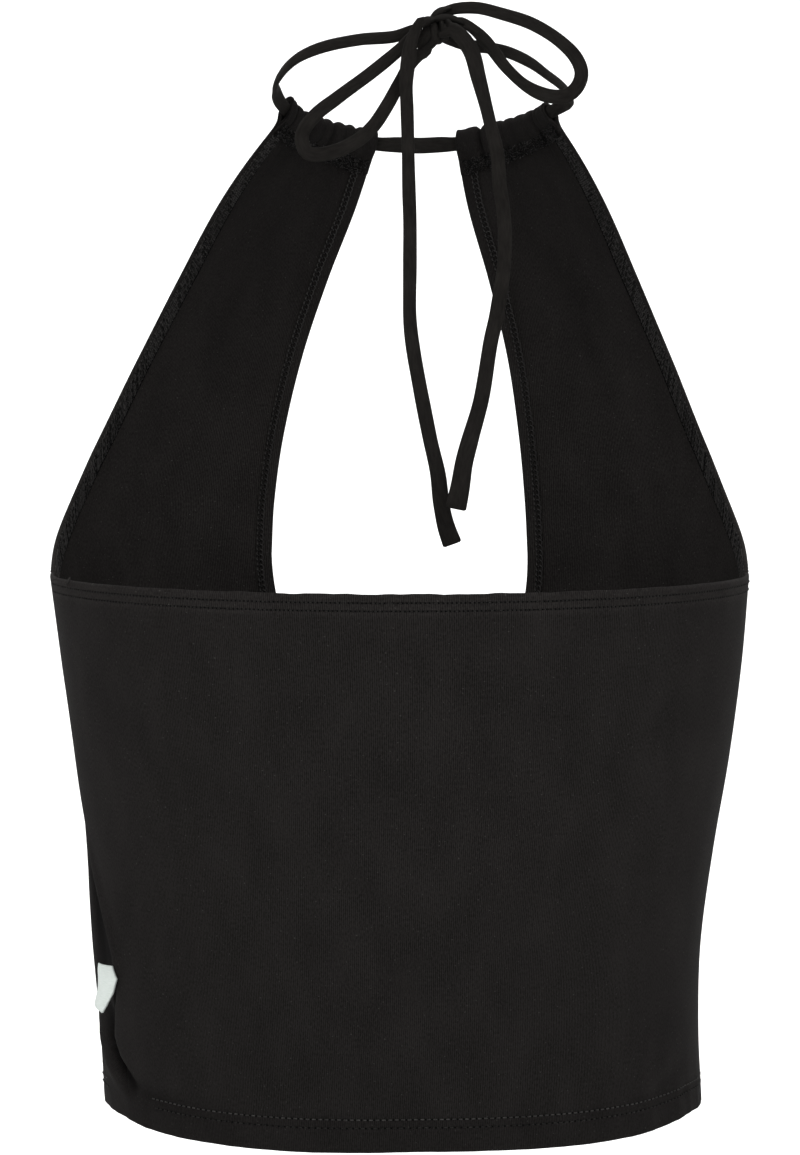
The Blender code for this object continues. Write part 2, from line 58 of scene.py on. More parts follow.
# Studio
FLOOR_HEIGHT = -0.80
STAGE_HALF_WIDTH = 7.0
STAGE_NEAR, STAGE_FAR, STAGE_TOP = -7.0, 4.0, 5.0
STAGE_BEND, STAGE_STEPS = 1.2, 16
STAGE_COLOUR, STAGE_SPECULAR = (0.93, 0.93, 0.93, 1), 0.5
WORLD_LIGHT = 0.64
Lamp = namedtuple("Lamp", "name place aim size watts")
LAMPS = (
    Lamp("key_soft", (-0.7, -1.7, 1.2), (0, 0, -0.15), 1.2, 11),
    Lamp("fill_soft", (1.5, -1.9, 0.7), (0, 0, -0.15), 1.4, 7),
    Lamp("backdrop_soft", (0, 1.7, 2.8), (0, 3.2, -0.6), 2.5, 130),
)

# Cloth
JERSEY = 0.0010
TURNED = 0.0009  # what a turned hem adds on the inside
OUTSIDE, WRONG_SIDE = JERSEY / 2, -JERSEY / 2
HEM_SIDE = WRONG_SIDE - TURNED

# Heights of the edges
HEM_HEIGHT = -0.431
UNDERARM_HEIGHT = -0.203
KEYHOLE_BOTTOM = -0.268
KEYHOLE_ROUND = 0.65  # power that widens the keyhole's lower end from an ellipse

# The torso form, from the hem up to the underarm
Torso = namedtuple("Torso", "height centre half_width front back")
TORSO = (
    Torso(-0.431, -0.0070, 0.1272, 0.0930, 0.0970),
    Torso(-0.395, -0.0089, 0.1276, 0.0925, 0.0955),
    Torso(-0.360, -0.0100, 0.1295, 0.0935, 0.0960),
    Torso(-0.320, -0.0089, 0.1335, 0.0975, 0.0990),
    Torso(-0.280, -0.0078, 0.1390, 0.1040, 0.1040),
    Torso(-0.240, -0.0078, 0.1440, 0.1118, 0.1090),
    Torso(-0.203, -0.0087, 0.1478, 0.1125, 0.1120),
)

# The front above the underarm: its form, how far forward the armhole edge lies, and half the keyhole's width
Lobe = namedtuple("Lobe", "height centre half_width front armhole_forward keyhole_half")
LOBE = (
    Lobe(-0.203, -0.0087, 0.1478, 0.1125, 0.0000, 0.0575),
    Lobe(-0.180, -0.0087, 0.1498, 0.1117, 0.0300, 0.0563),
    Lobe(-0.150, -0.0080, 0.1453, 0.1060, 0.0440, 0.0527),
    Lobe(-0.114, -0.0064, 0.1339, 0.0965, 0.0480, 0.0456),
    Lobe(-0.080, -0.0049, 0.1166, 0.0855, 0.0440, 0.0356),
    Lobe(-0.045, -0.0031, 0.0938, 0.0725, 0.0350, 0.0237),
    Lobe(-0.014, -0.0010, 0.0665, 0.0600, 0.0240, 0.0167),
    Lobe(0.0060, 0.0000, 0.0490, 0.0520, 0.0225, 0.0156),
)

# The left side seam swings to the back as it falls: degrees round from the side
Seam = namedtuple("Seam", "height swing")
LEFT_SEAM = (
    Seam(-0.431, 30), Seam(-0.420, 27), Seam(-0.410, 22), Seam(-0.400, 18.5), Seam(-0.390, 20),
    Seam(-0.370, 24), Seam(-0.350, 21.7), Seam(-0.330, 15.7), Seam(-0.310, 7), Seam(-0.290, 1),
    Seam(-0.270, 0), Seam(-0.203, 0),
)
SEAM_GAP = 0.00002
NEAR_SEAM = (0, 0.0004, 0.0009, 0.0015, 0.0023, 0.0034)  # where the cloth needs points beside a seam
ALLOWANCE_COLUMNS = (-0.0042, -0.0022, -0.0009, 0, 0.0009, 0.0022, 0.0042)  # metres round from the seam
ALLOWANCE_ENDS, ALLOWANCE_CELL, ALLOWANCE_SUNK = 0.0009, 0.0040, 0.0002
SEAM_DIP, SEAM_ROLL = 0.0007, 0.0011
SEAM_FADE_START, SEAM_FADE = 0.0110, 0.0070  # above the hem, where the seam begins to show

# Depths of the turned hems
BACK_TOP_HEM = 0.0085
BOTTOM_HEM = 0.0150
ARMHOLE_HEM = 0.0082
KEYHOLE_HEM = 0.0074

# A casing tapers from its inner end, at the keyhole, to its outer end, at the armhole
CasingEnd = namedtuple("CasingEnd", "height half_channel flange")
CASING_INNER = CasingEnd(height=-0.0206, half_channel=0.0060, flange=0.0080)
CASING_OUTER = CasingEnd(height=-0.0080, half_channel=0.0049, flange=0.0045)
CASING_FLAT_FROM, CASING_FLAT = 0.62, 0.70  # the casing closes on the string towards its outer end
CASING_LIFT_FROM, CASING_LIFT = 0.72, Vector((-0.0008, 0.0, 0.0028))  # and the left one's top moves up there

# Half the casing's section, from the lobe's outside over the string to the flange on its inside: metres out
# from the form, and metres up as shares of the half channel and the flange, and more
SectionPoint = namedtuple("SectionPoint", "out channels flanges more")
CASING_SECTION = (
    SectionPoint(0.0000, -1.00, 0, -0.0060), SectionPoint(0.0002, -1.00, 0, -0.0030),
    SectionPoint(0.0013, -1.00, 0, 0.0000), SectionPoint(0.0029, -0.62, 0, 0.0000),
    SectionPoint(0.0037, -0.05, 0, 0.0000), SectionPoint(0.0028, 0.62, 0, 0.0000),
    SectionPoint(0.0004, 0.95, 0, 0.0000), SectionPoint(-0.0024, 0.70, 0, 0.0000),
    SectionPoint(-0.0037, 0.05, 0, 0.0000), SectionPoint(-0.0034, -0.50, 0, 0.0000),
    SectionPoint(-0.0024, -0.92, 0, 0.0000), SectionPoint(-0.0019, -1.00, -0.25, -0.0004),
    SectionPoint(-0.0017, -1.00, -1.00, 0.0000),
)
SECTION_STEPS = 30
SECTION_CLOTH = 0.0011  # a step of the section, in the cloth's coordinates
JOINING_HOLD, FLANGE_HOLD = 0.55, 0.25  # how much of the gathers the section's two ends take up
FULL_HOLD_FROM, FULL_HOLD_TO = 0.3, 0.72

# Gathers of each casing: where they lie from the keyhole's end to the armhole's, how wide and how deep
Gather = namedtuple("Gather", "share width depth")
GATHERS_LEFT = (
    Gather(0.07, 0.030, 0.0007), Gather(0.17, 0.022, 0.0012), Gather(0.26, 0.025, 0.0008),
    Gather(0.37, 0.030, 0.0013), Gather(0.47, 0.022, 0.0007), Gather(0.60, 0.040, 0.0012),
    Gather(0.745, 0.026, 0.0017), Gather(0.865, 0.022, 0.0012), Gather(0.945, 0.016, 0.0007),
)
GATHERS_RIGHT = (
    Gather(0.055, 0.020, 0.0005), Gather(0.185, 0.022, 0.0019), Gather(0.285, 0.018, 0.0016),
    Gather(0.39, 0.022, 0.0008), Gather(0.50, 0.032, 0.0006), Gather(0.63, 0.028, 0.0005),
    Gather(0.765, 0.020, 0.0016), Gather(0.84, 0.016, 0.0006), Gather(0.94, 0.018, 0.0007),
)
GATHER_FADE = 0.0085  # the gathers die away in the lobe over about this far
GATHERS_FROM = UNDERARM_HEIGHT / 3  # and are gone below here

# Soft folds: a trough where depth is above nought, a ridge below it, along (height, degrees)
Fold = namedtuple("Fold", "depth width path")
FOLDS = (
    # back, round the left seam and into the hem
    Fold(0.001, 0.0075, ((-0.256, 181), (-0.285, 181.5), (-0.31, 184), (-0.34, 190))),
    Fold(0.0034, 0.0046, ((-0.306, 184), (-0.313, 185.5), (-0.3384, 194.5), (-0.3583, 199.5), (-0.374, 200))),
    Fold(0.004, 0.0078, ((-0.308, 183.5), (-0.325, 186.5), (-0.34, 190), (-0.36, 194.5), (-0.398, 195))),
    Fold(-0.0015, 0.0034, ((-0.313, 191.5), (-0.3384, 200), (-0.3583, 204.8), (-0.374, 206))),
    Fold(0.0042, 0.0033, ((-0.385, 199), (-0.397, 196), (-0.4075, 201), (-0.415, 208))),
    Fold(0.0013, 0.0045, ((-0.413, 206), (-0.416, 216), (-0.4165, 228))),
    Fold(-0.0016, 0.0038, ((-0.393, 188), (-0.401, 190), (-0.41, 196.5), (-0.419, 205))),
    # back, at the right of the hem
    Fold(0.0008, 0.0042, ((-0.408, 337), (-0.4125, 332), (-0.416, 323))),
    Fold(-0.0006, 0.0038, ((-0.403, 331), (-0.4075, 326), (-0.411, 318))),
    Fold(0.0006, 0.0038, ((-0.418, 341), (-0.4215, 336))),
    # back, slack across the lower middle
    Fold(0.0006, 0.011, ((-0.39, 238), (-0.401, 252), (-0.405, 272))),
    Fold(0.0005, 0.012, ((-0.24, 205), (-0.27, 222), (-0.29, 244))),
    Fold(0.0005, 0.012, ((-0.235, 336), (-0.262, 318), (-0.279, 300))),
    # front, from the underarms
    Fold(0.0012, 0.0062, ((-0.208, 8), (-0.229, 26), (-0.248, 44))),
    Fold(-0.0008, 0.007, ((-0.22, 8), (-0.243, 24), (-0.262, 38))),
    Fold(0.0009, 0.006, ((-0.234, 9), (-0.258, 22), (-0.276, 33))),
    Fold(0.0013, 0.0068, ((-0.207, 171), (-0.226, 156), (-0.25, 138))),
    Fold(-0.0007, 0.006, ((-0.223, 172), (-0.241, 160), (-0.258, 147))),
    Fold(0.0008, 0.0056, ((-0.242, 170), (-0.26, 159))),
    # front, below the keyhole
    Fold(0.0012, 0.0065, ((-0.272, 92), (-0.302, 90), (-0.328, 93))),
    Fold(0.0008, 0.0058, ((-0.276, 79), (-0.306, 76), (-0.326, 72))),
    Fold(0.0009, 0.006, ((-0.274, 103), (-0.298, 107), (-0.322, 109))),
    Fold(-0.0008, 0.008, ((-0.29, 85), (-0.33, 82))),
    # front, low down
    Fold(0.001, 0.007, ((-0.365, 24), (-0.39, 38), (-0.408, 55))),
    Fold(-0.0008, 0.007, ((-0.38, 20), (-0.404, 34))),
    Fold(0.0009, 0.0066, ((-0.372, 146), (-0.395, 130), (-0.409, 113))),
    Fold(0.0008, 0.005, ((-0.39, 168), (-0.402, 154), (-0.413, 142))),
    # lobes
    Fold(0.0009, 0.006, ((-0.056, 56), (-0.085, 52), (-0.125, 50))),
    Fold(-0.0007, 0.006, ((-0.07, 42), (-0.108, 36), (-0.145, 34))),
    Fold(0.001, 0.0062, ((-0.06, 126), (-0.09, 129), (-0.118, 131))),
    Fold(-0.0007, 0.0056, ((-0.074, 139), (-0.112, 144), (-0.14, 147))),
)
FOLD_REACH = 3  # a fold is worked out within so many of its widths
FOLD_ENDS, FOLD_TAPER = (0.08, 0.92), 0.7  # and gets shallower towards its ends

# Waver of the cloth beside the stitched hems: waves all round the garment, and their height
Waver = namedtuple("Waver", "waves height phase")
WAVERS = (Waver(26, 0.00016, 0.4), Waver(61, 0.00012, 2.1), Waver(106, 0.00007, 4.4))
WAVER_DEPTH = 0.018
MEAN_RADIUS = 0.120

# How far the bottom edge rises from its height, round the garment
Sag = namedtuple("Sag", "turn rise")
HEM_SAGS = (
    Sag(0, 0.0006), Sag(90, 0.0000), Sag(180, 0.0008), Sag(190, 0.0021), Sag(201, 0.0019),
    Sag(208, 0.0008), Sag(215, -0.0003), Sag(228, -0.0012), Sag(247, -0.0016), Sag(260, -0.0011),
    Sag(272, -0.0004), Sag(286, -0.0007), Sag(303, -0.0012), Sag(318, -0.0009), Sag(326, -0.0001),
    Sag(334, 0.0010), Sag(343, 0.0018), Sag(352, 0.0013), Sag(360, 0.0006),
)
SAG_FADE = 0.020

# Stitching
Rows = namedtuple("Rows", "near far pitch")
BACK_TOP_ROWS = Rows(0.0029, 0.0062, 0.0018)
BOTTOM_ROWS = Rows(0.0100, 0.0133, 0.0026)
ARMHOLE_ROWS = Rows(0.0020, 0.0070, 0.0021)
ARMHOLE_LOOPERS = ((0.0007, 0.0036), (0.0028, 0.0062), (0.0052, 0.0084))  # from the edge
ARMHOLE_LOOP = 0.0019
LOOPER_STEPS, LOOPER_STRANDS = 8, ((0, 0.50), (pi, 0.36))  # each strand's phase, and its reach across
LOOPER_LIFTS, LOOPER_STRAY, LOOPER_SINK = (0.00015, 0.000125), 0.05, 0.00008
ARMHOLE_EDGE, EDGE_SHADOW_RADIUS, EDGE_STEPS = 0.0090, 0.00056, 200  # the painted shadow beside the hem's raw edge: a near-black tube
EDGE_OUT = 0.0002
KEYHOLE_ROW = Rows(0.0040, 0.0040, 0.0022)
FUZZ_REACH = (-0.0006, 0.0062)  # above the cut edge
CHAIN_IN, CHAIN_WIDE, CHAIN_PITCH, CHAIN_TRIM = 0.0062, 0.0014, 0.0023, 0.001
CHAIN_LOOP = (0.62, 0.72)  # a loop's middle and half its length, in pitches
CHAIN_OUT, CHAIN_LIFT, CHAIN_STRAY, CHAIN_THREAD, CHAIN_STEPS = 0.0017, 0.0003, 0.15, 0.00027, 10
BAR_TACK = ((-0.2017, 203.2), (-0.2044, 200.9))
BAR_TACK_TURNS, BAR_TACK_HALF = 9, 0.0004
THREAD, NEEDLE_THREAD, THREAD_OUT = 0.00021, 0.00031, 0.00012
THREAD_SIDES, NEEDLE_SIDES = 4, 5
ROW_STEPS, ROW_TRIM = 160, 0.002
STITCH_SHARE = 0.50  # of the pitch, and the rest is the pit between two stitches
STITCH_RISES = ((0, -NEEDLE_THREAD), (0.12, 0.00008), (0.5, THREAD_OUT), (0.88, 0.00008), (1, -NEEDLE_THREAD))
THREAD_CLOTH, STITCH_CLOTH = (0.0002, 0.0005), 0.0037  # steps on a thread, in the cloth's coordinates
FREE_OF_SEAM = (8, 12)  # degrees between the left seam and the rows round the garment, behind and in front
# The painted shade of a needle pit: a near-black disc between two stitches
HOLE_SIDES = 6
HOLE_WIDE, HOLE_TALL, HOLE_OUT = 0.00046, 0.00042, 0.00005

# Fuzz of the casings' cut edges
FUZZ_FIBRES = 4200
FUZZ_RADII = (0.00010, 0.00024)
FUZZ_STRETCH = (0.03, 0.97)
FUZZ_THICKETS = ((-1, 0.10, 0.42), (1, 0.20, 0.42), (1, 0.80, 0.95))  # side, and the stretch of the casing
THICKET_EVERY = 3  # one fibre in so many lies in a thicket
FIBRE_STEPS = (0.022, 0.0009)  # most that a fibre moves along the casing, as a share, and up
FIBRE_PARTS, FIBRE_LIMITS, FIBRE_BEND = 3, (0.01, 0.99), 0.8
FIBRE_OUT, FIBRE_ARCH, FIBRE_SIDES = 0.0001, (0.0002, 0.0005), 3

# String and bow
TIE_WIDTH, TIE_THICK = 0.0056, 0.0023
TIE_SIDES, TIE_SQUARE = 16, (0.75, 0.85)  # powers that square the string's round section
TIE_WAVER, TIE_WAVES, TIE_PHASES = 0.035, (0.0067, 0.0179), (9, 1.3)
END_STEP, END_SHRINK = 0.0005, 0.82
CASING_STRING_STEPS = 6
KNOT_CENTRE = Vector((0.0045, -0.0605, 0.0225))
KNOT_RADII = Vector((0.0060, 0.0055, 0.0062))
KNOT_GAP = 0.0004
KNOT_STUB = 0.0022
RING_SPACING = 0.0016
ROUTE_STEPS = 12

# Ways out of the knot
OUT_NECK_LEFT = (-0.835, 0.540, 0.098)
OUT_NECK_RIGHT = (0.800, 0.500, -0.330)
OUT_LOOP_LEFT_TOP = (-0.943, -0.200, -0.270)
OUT_LOOP_LEFT_END = (-0.330, -0.160, -0.930)
OUT_LOOP_RIGHT_TOP = (0.440, -0.080, 0.890)
OUT_LOOP_RIGHT_END = (0.930, -0.150, 0.330)
OUT_TAIL_LEFT = (-0.500, -0.700, 0.500)
OUT_TAIL_RIGHT = (0.600, -0.790, 0.000)

# Routes of the string: out of the knot, and the neck's on from the wearer's left to the right
NECK_LEFT = (
    (-0.0105, -0.0563, 0.0207), (-0.0248, -0.0526, 0.0196), (-0.0396, -0.0448, 0.0170),
    (-0.0493, -0.0367, 0.0135), (-0.0548, -0.0290, 0.0098), (-0.0584, -0.0200, 0.0060),
    (-0.0604, -0.0100, 0.0028), (-0.0607, 0.0000, 0.0004), (-0.0602, 0.0090, -0.0020),
    (-0.0591, 0.0160, -0.0043),
)
NECK_FRONT = (
    (-0.0085, 0.0600, -0.0211), (0.0002, 0.0606, -0.0214), (0.0089, 0.0600, -0.0210),
)
NECK_RIGHT = (
    (0.0600, 0.0160, -0.0057), (0.0619, 0.0095, -0.0045), (0.0631, 0.0010, -0.0025),
    (0.0616, -0.0090, -0.0003), (0.0581, -0.0190, 0.0025), (0.0527, -0.0290, 0.0059),
    (0.0450, -0.0396, 0.0108), (0.0357, -0.0466, 0.0147), (0.0283, -0.0510, 0.0162),
    (0.0184, -0.0545, 0.0174),
)
LOOP_LEFT = (
    (-0.0083, -0.0628, 0.0155), (-0.0197, -0.0640, 0.0061), (-0.0340, -0.0660, -0.0045),
    (-0.0435, -0.0670, -0.0121), (-0.0484, -0.0680, -0.0202), (-0.0458, -0.0685, -0.0267),
    (-0.0373, -0.0690, -0.0267), (-0.0267, -0.0690, -0.0223), (-0.0196, -0.0685, -0.0162),
    (-0.0138, -0.0675, -0.0077), (-0.0088, -0.0660, 0.0014), (-0.0050, -0.0650, 0.0082),
    (-0.0006, -0.0630, 0.0131),
)
LOOP_RIGHT = (
    (0.0085, -0.0612, 0.0302), (0.0142, -0.0612, 0.0317), (0.0231, -0.0620, 0.0319),
    (0.0324, -0.0630, 0.0296), (0.0448, -0.0640, 0.0255), (0.0559, -0.0650, 0.0187),
    (0.0628, -0.0660, 0.0116), (0.0650, -0.0665, 0.0054), (0.0632, -0.0670, -0.0001),
    (0.0591, -0.0670, -0.0035), (0.0515, -0.0665, -0.0036), (0.0429, -0.0660, 0.0002),
    (0.0345, -0.0650, 0.0078), (0.0280, -0.0640, 0.0163), (0.0219, -0.0630, 0.0228),
    (0.0154, -0.0625, 0.0265),
)
TAIL_LEFT = (
    (-0.0032, -0.0690, 0.0203), (-0.0044, -0.0704, 0.0159), (-0.0050, -0.0711, 0.0112),
    (-0.0056, -0.0712, 0.0066), (-0.0060, -0.0713, 0.0002), (-0.0057, -0.0715, -0.0079),
    (-0.0053, -0.0718, -0.0223), (-0.0049, -0.0722, -0.0413), (-0.0045, -0.0725, -0.0546),
    (-0.0045, -0.0728, -0.0723), (-0.0045, -0.0731, -0.0937), (-0.0034, -0.0734, -0.1043),
    (-0.0010, -0.0736, -0.1184), (0.0038, -0.0738, -0.1428), (0.0069, -0.0740, -0.1566),
    (0.0083, -0.0740, -0.1688), (0.0102, -0.0740, -0.1778), (0.0127, -0.0740, -0.1849),
)
TAIL_RIGHT = (
    (0.0123, -0.0685, 0.0230), (0.0156, -0.0700, 0.0207), (0.0203, -0.0710, 0.0139),
    (0.0232, -0.0718, 0.0034), (0.0262, -0.0725, -0.0079), (0.0285, -0.0730, -0.0175),
    (0.0307, -0.0735, -0.0268), (0.0319, -0.0742, -0.0413), (0.0331, -0.0748, -0.0485),
    (0.0339, -0.0755, -0.0606), (0.0335, -0.0762, -0.0723), (0.0319, -0.0770, -0.0840),
    (0.0303, -0.0778, -0.0936), (0.0283, -0.0785, -0.1021), (0.0243, -0.0800, -0.1263),
    (0.0198, -0.0810, -0.1424), (0.0174, -0.0815, -0.1517), (0.0158, -0.0820, -0.1616),
    (0.0141, -0.0820, -0.1699),
)

# How a flat string lies along its route: the way its face looks, and its width and thickness as shares.
# The right half of the neck string lies as the mirror image of the left half
Lie = namedtuple("Lie", "share x y z width thick")
LIE_NECK_LEFT = (
    Lie(0.00, -0.10, -1.0, 0.25, 0.90, 1.1),
    Lie(0.35, -0.45, -0.9, 0.40, 0.95, 1.0),
    Lie(0.65, -0.75, -0.6, 0.45, 0.95, 1.0),
    Lie(0.80, -1.00, -0.05, 0.30, 0.95, 1.0),
    Lie(0.90, -0.60, 0.80, 0.30, 1.00, 1.0),
    Lie(1.00, -0.35, 1.0, 0.45, 1.00, 1.0),
)
LIE_CASING_LEFT = (
    Lie(0.00, -0.60, 0.8, 0.40, 1.00, 0.9),
    Lie(1.00, -0.30, 1.0, 0.10, 1.10, 1.0),
)
LIE_NECK_FRONT = (
    Lie(0.00, -0.10, 1.0, 0.10, 1.25, 0.9),
    Lie(1.00, 0.10, 1.0, 0.10, 1.25, 0.9),
)
LIE_LOOP_LEFT = (
    Lie(0.00, -0.20, -1.0, 0.10, 0.90, 1.2),
    Lie(0.15, -0.25, -1.0, 0.30, 1.00, 1.0),
    Lie(0.40, -0.10, -1.0, 0.15, 1.02, 1.0),
    Lie(0.50, 0.10, -1.0, -0.25, 1.08, 1.0),
    Lie(0.62, 0.05, -1.0, -0.30, 1.06, 1.0),
    Lie(0.80, 0.20, -1.0, -0.10, 0.98, 1.0),
    Lie(1.00, 0.10, -1.0, 0.10, 0.90, 1.2),
)
LIE_LOOP_RIGHT = (
    Lie(0.00, 0.10, -1.0, 0.20, 0.72, 1.2),
    Lie(0.12, -0.05, -1.0, 0.35, 0.95, 1.0),
    Lie(0.35, 0.15, -1.0, 0.15, 1.00, 1.0),
    Lie(0.50, 0.30, -1.0, 0.05, 1.05, 1.0),
    Lie(0.62, 0.05, -1.0, -0.30, 1.08, 1.0),
    Lie(0.72, -0.25, -1.0, -0.10, 0.84, 1.0),
    Lie(0.86, -0.05, -1.0, 0.20, 0.95, 1.0),
    Lie(0.93, 0.10, -1.0, 0.25, 0.75, 1.1),
    Lie(1.00, 0.20, -1.0, 0.30, 0.62, 1.2),
)
LIE_TAIL_LEFT = (
    Lie(0.00, -0.05, -1.0, 0.10, 0.62, 1.2),
    Lie(0.04, -0.10, -1.0, 0.10, 0.80, 1.2),
    Lie(0.09, -0.15, -1.0, 0.05, 1.12, 1.2),
    Lie(0.16, -0.15, -1.0, 0.05, 0.96, 1.1),
    Lie(0.25, -0.05, -1.0, 0.00, 0.96, 1.0),
    Lie(0.50, 0.10, -1.0, 0.00, 1.00, 1.0),
    Lie(0.75, -0.15, -1.0, 0.00, 1.06, 1.0),
    Lie(0.92, -0.08, -1.0, 0.00, 1.20, 0.8),
    Lie(1.00, -0.05, -1.0, 0.00, 1.38, 0.6),
)
LIE_TAIL_RIGHT = (
    Lie(0.00, 0.20, -1.0, 0.20, 1.00, 1.4),
    Lie(0.08, 0.15, -1.0, 0.10, 1.25, 1.2),
    Lie(0.22, 0.15, -1.0, 0.00, 0.96, 1.0),
    Lie(0.45, -0.10, -1.0, 0.00, 1.00, 1.0),
    Lie(0.70, 0.12, -1.0, 0.00, 1.10, 1.0),
    Lie(0.90, 0.05, -1.0, 0.00, 1.28, 0.8),
    Lie(1.00, 0.05, -1.0, 0.00, 1.52, 0.6),
)

FreeString = namedtuple("FreeString", "name way_out route way_back lies length")
FREE_STRINGS = (
    FreeString("tail_left", OUT_TAIL_LEFT, TAIL_LEFT, None, LIE_TAIL_LEFT, 0.218),
    FreeString("tail_right", OUT_TAIL_RIGHT, TAIL_RIGHT, None, LIE_TAIL_RIGHT, 0.206),
    FreeString("bow_loop_left", OUT_LOOP_LEFT_TOP, LOOP_LEFT, OUT_LOOP_LEFT_END, LIE_LOOP_LEFT, 0.141),
    FreeString("bow_loop_right", OUT_LOOP_RIGHT_TOP, LOOP_RIGHT, OUT_LOOP_RIGHT_END, LIE_LOOP_RIGHT, 0.142),
)

# The knot, as offsets from its centre: the wrap round it, and its strands with their width and thickness
WRAP_RADII = (0.0055, 0.0045)
WRAP_LEAN, WRAP_STEPS = 0.16, 40
WRAP_OFFSET = Vector((0.0010, 0.0, 0.0002))
WRAP_WIDTH, WRAP_NARROWING, WRAP_THICK = 0.00375, 0.00105, 0.0021
CORE_OFFSET = Vector((0.0030, 0.0, 0.0002))
CORE_RADII = Vector((0.0055, 0.0045, 0.0048))
CORE_RINGS, CORE_SIDES, CORE_CLOTH = 14, 20, 0.005
Strand = namedtuple("Strand", "width thick path")
KNOT_STRANDS = (
    # two pleats beside the wrap, over the start of the right tail
    Strand(
        0.0022, 0.0022,
        (
            (0.0036, -0.0035, 0.0046), (0.0039, -0.0066, 0.0028), (0.0040, -0.0070, 0.0006),
            (0.0038, -0.0048, -0.0020),
        ),
    ),
    Strand(
        0.0036, 0.0024,
        (
            (0.0062, -0.0032, 0.0044), (0.0068, -0.0068, 0.0030), (0.0074, -0.0072, 0.0002),
            (0.0078, -0.0050, -0.0026),
        ),
    ),
    # the strand that leaves over the top to the right
    Strand(
        0.0040, 0.0022,
        (
            (-0.0004, -0.0040, 0.0045), (0.0025, -0.0052, 0.0050), (0.0062, -0.0050, 0.0053),
            (0.0098, -0.0040, 0.0045), (0.0127, -0.0030, 0.0033),
        ),
    ),
    # the left tail's start, over the top to the left
    Strand(
        0.0046, 0.0024,
        (
            (0.0006, -0.0045, 0.0048), (-0.0020, -0.0062, 0.0040), (-0.0045, -0.0072, 0.0018),
        ),
    ),
    # the fold between the left tail and the wrap
    Strand(
        0.0058, 0.0026,
        (
            (-0.0062, -0.0022, -0.0062), (-0.0026, -0.0042, -0.0016), (0.0002, -0.0044, 0.0026),
        ),
    ),
    # the right loop's start, up out of the wrap
    Strand(
        0.0046, 0.0022,
        (
            (-0.0002, -0.0034, 0.0048), (0.0018, -0.0030, 0.0068), (0.0044, -0.0022, 0.0085),
            (0.0074, -0.0014, 0.0095),
        ),
    ),
    # the left loop's end, up into the wrap
    Strand(
        0.0056, 0.0024,
        (
            (-0.0050, -0.0010, -0.0100), (-0.0022, -0.0020, -0.0062), (0.0008, -0.0034, -0.0030),
            (0.0026, -0.0040, 0.0010),
        ),
    ),
)
STRAND_STEPS, STRAND_CLOTH = 18, 0.0007
STRAND_END, STRAND_TAPER = 0.55, (0.12, 0.88)

# Side label: how its sewn and free edges run down, as (height, degrees, out)
LABEL_SEWN = (
    (-0.3645, 204.7, 0.0008), (-0.3693, 207.0, 0.0012), (-0.3762, 204.6, 0.0020),
    (-0.3858, 198.8, 0.0025),
)
LABEL_FREE = (
    (-0.3637, 200.7, 0.0036), (-0.3694, 200.3, 0.0044), (-0.3754, 198.7, 0.0044),
    (-0.3813, 196.4, 0.0038),
)
LABEL_COLUMNS, LABEL_ROWS, LABEL_SIZE = 12, 24, (0.012, 0.020)
LABEL_LAYERS, LABEL_BOW, LABEL_TWIST = 0.0009, 0.0009, 0.0004

# Looks of the cloth
WALE = 0.00074  # pitch of the knit's ribs, in the cloth's coordinates
WAVE_UNIT = pi / 10  # the length of one band of the wave texture at a scale of 1
CLOTH = "cloth"  # the cloth's coordinates
HOLLOW = "hollow"  # how deep in a fold each point of the cloth lies, or how near a knot strand's pressed edge: it sets the painted shade there
# Painted shade in folds: the depth at which it is full, how it grows with depth, and how dark it makes the
# cloth at most
DEEP_FOLD, HOLLOW_POWER, PAINTED_FOLD_SHADE = 0.0026, 1.5, 0.70
CLOTH_SPECULAR = 0.04
# The black of painted shade; real lint; and the near black of painted shade in needle pits and of the painted
# shadow beside the armhole hems' raw edges
PAINTED_SHADE_BLACK, LINT, PAINTED_PIT_BLACK = (0, 0, 0, 1), (0.058, 0.055, 0.052, 1), (0.003, 0.003, 0.003, 1)
JERSEY_TONES = ((0.36, (0.0101, 0.0092, 0.0088)), (0.64, (0.0310, 0.0284, 0.0270)))
LINT_STOPS = ((0.785, (0, 0, 0)), (0.84, (1, 1, 1)))
TIE_TONES = ((0.34, (0.0090, 0.0083, 0.0076)), (0.66, (0.0180, 0.0165, 0.0150)))
BLACK_THREAD = ((0.36, (0.008, 0.0075, 0.007)), (0.64, (0.024, 0.0230, 0.0220)))
LIGHT_THREAD = ((0.36, (0.022, 0.0210, 0.020)), (0.64, (0.056, 0.0540, 0.0520)))
FLEECY_THREAD = ((0.48, (0.002, 0.002, 0.002)), (0.70, (0.075, 0.0720, 0.0700)))
LOOPED_THREAD = ((0.42, (0.004, 0.004, 0.004)), (0.64, (0.070, 0.0670, 0.0650)))
SATIN_TONES = ((0.3, (0.66, 0.72, 0.68)), (0.7, (0.76, 0.81, 0.78)))
# Painted light and shade: how light the jersey's colour is made at each height, in bands that stand in for
# how the light falls on the cloth. The back and the front each have their own table
Shade = namedtuple("Shade", "height light")
LOW_PAINTED_LIGHT = (
    Shade(-0.4400, 0.55), Shade(-0.4172, 0.55), Shade(-0.4150, 0.61), Shade(-0.3650, 0.64),
    Shade(-0.3050, 0.68),
)
BACK_PAINTED_LIGHT = (
    *LOW_PAINTED_LIGHT,
    Shade(-0.2120, 0.69), Shade(-0.2105, 0.86), Shade(-0.2020, 0.87),
)
FRONT_PAINTED_LIGHT = (
    *LOW_PAINTED_LIGHT,
    Shade(-0.2450, 0.72), Shade(-0.1850, 0.98), Shade(-0.1600, 1.00), Shade(-0.0700, 0.69),
    Shade(-0.0380, 0.62), Shade(-0.0240, 0.53), Shade(0.0200, 0.53),
)

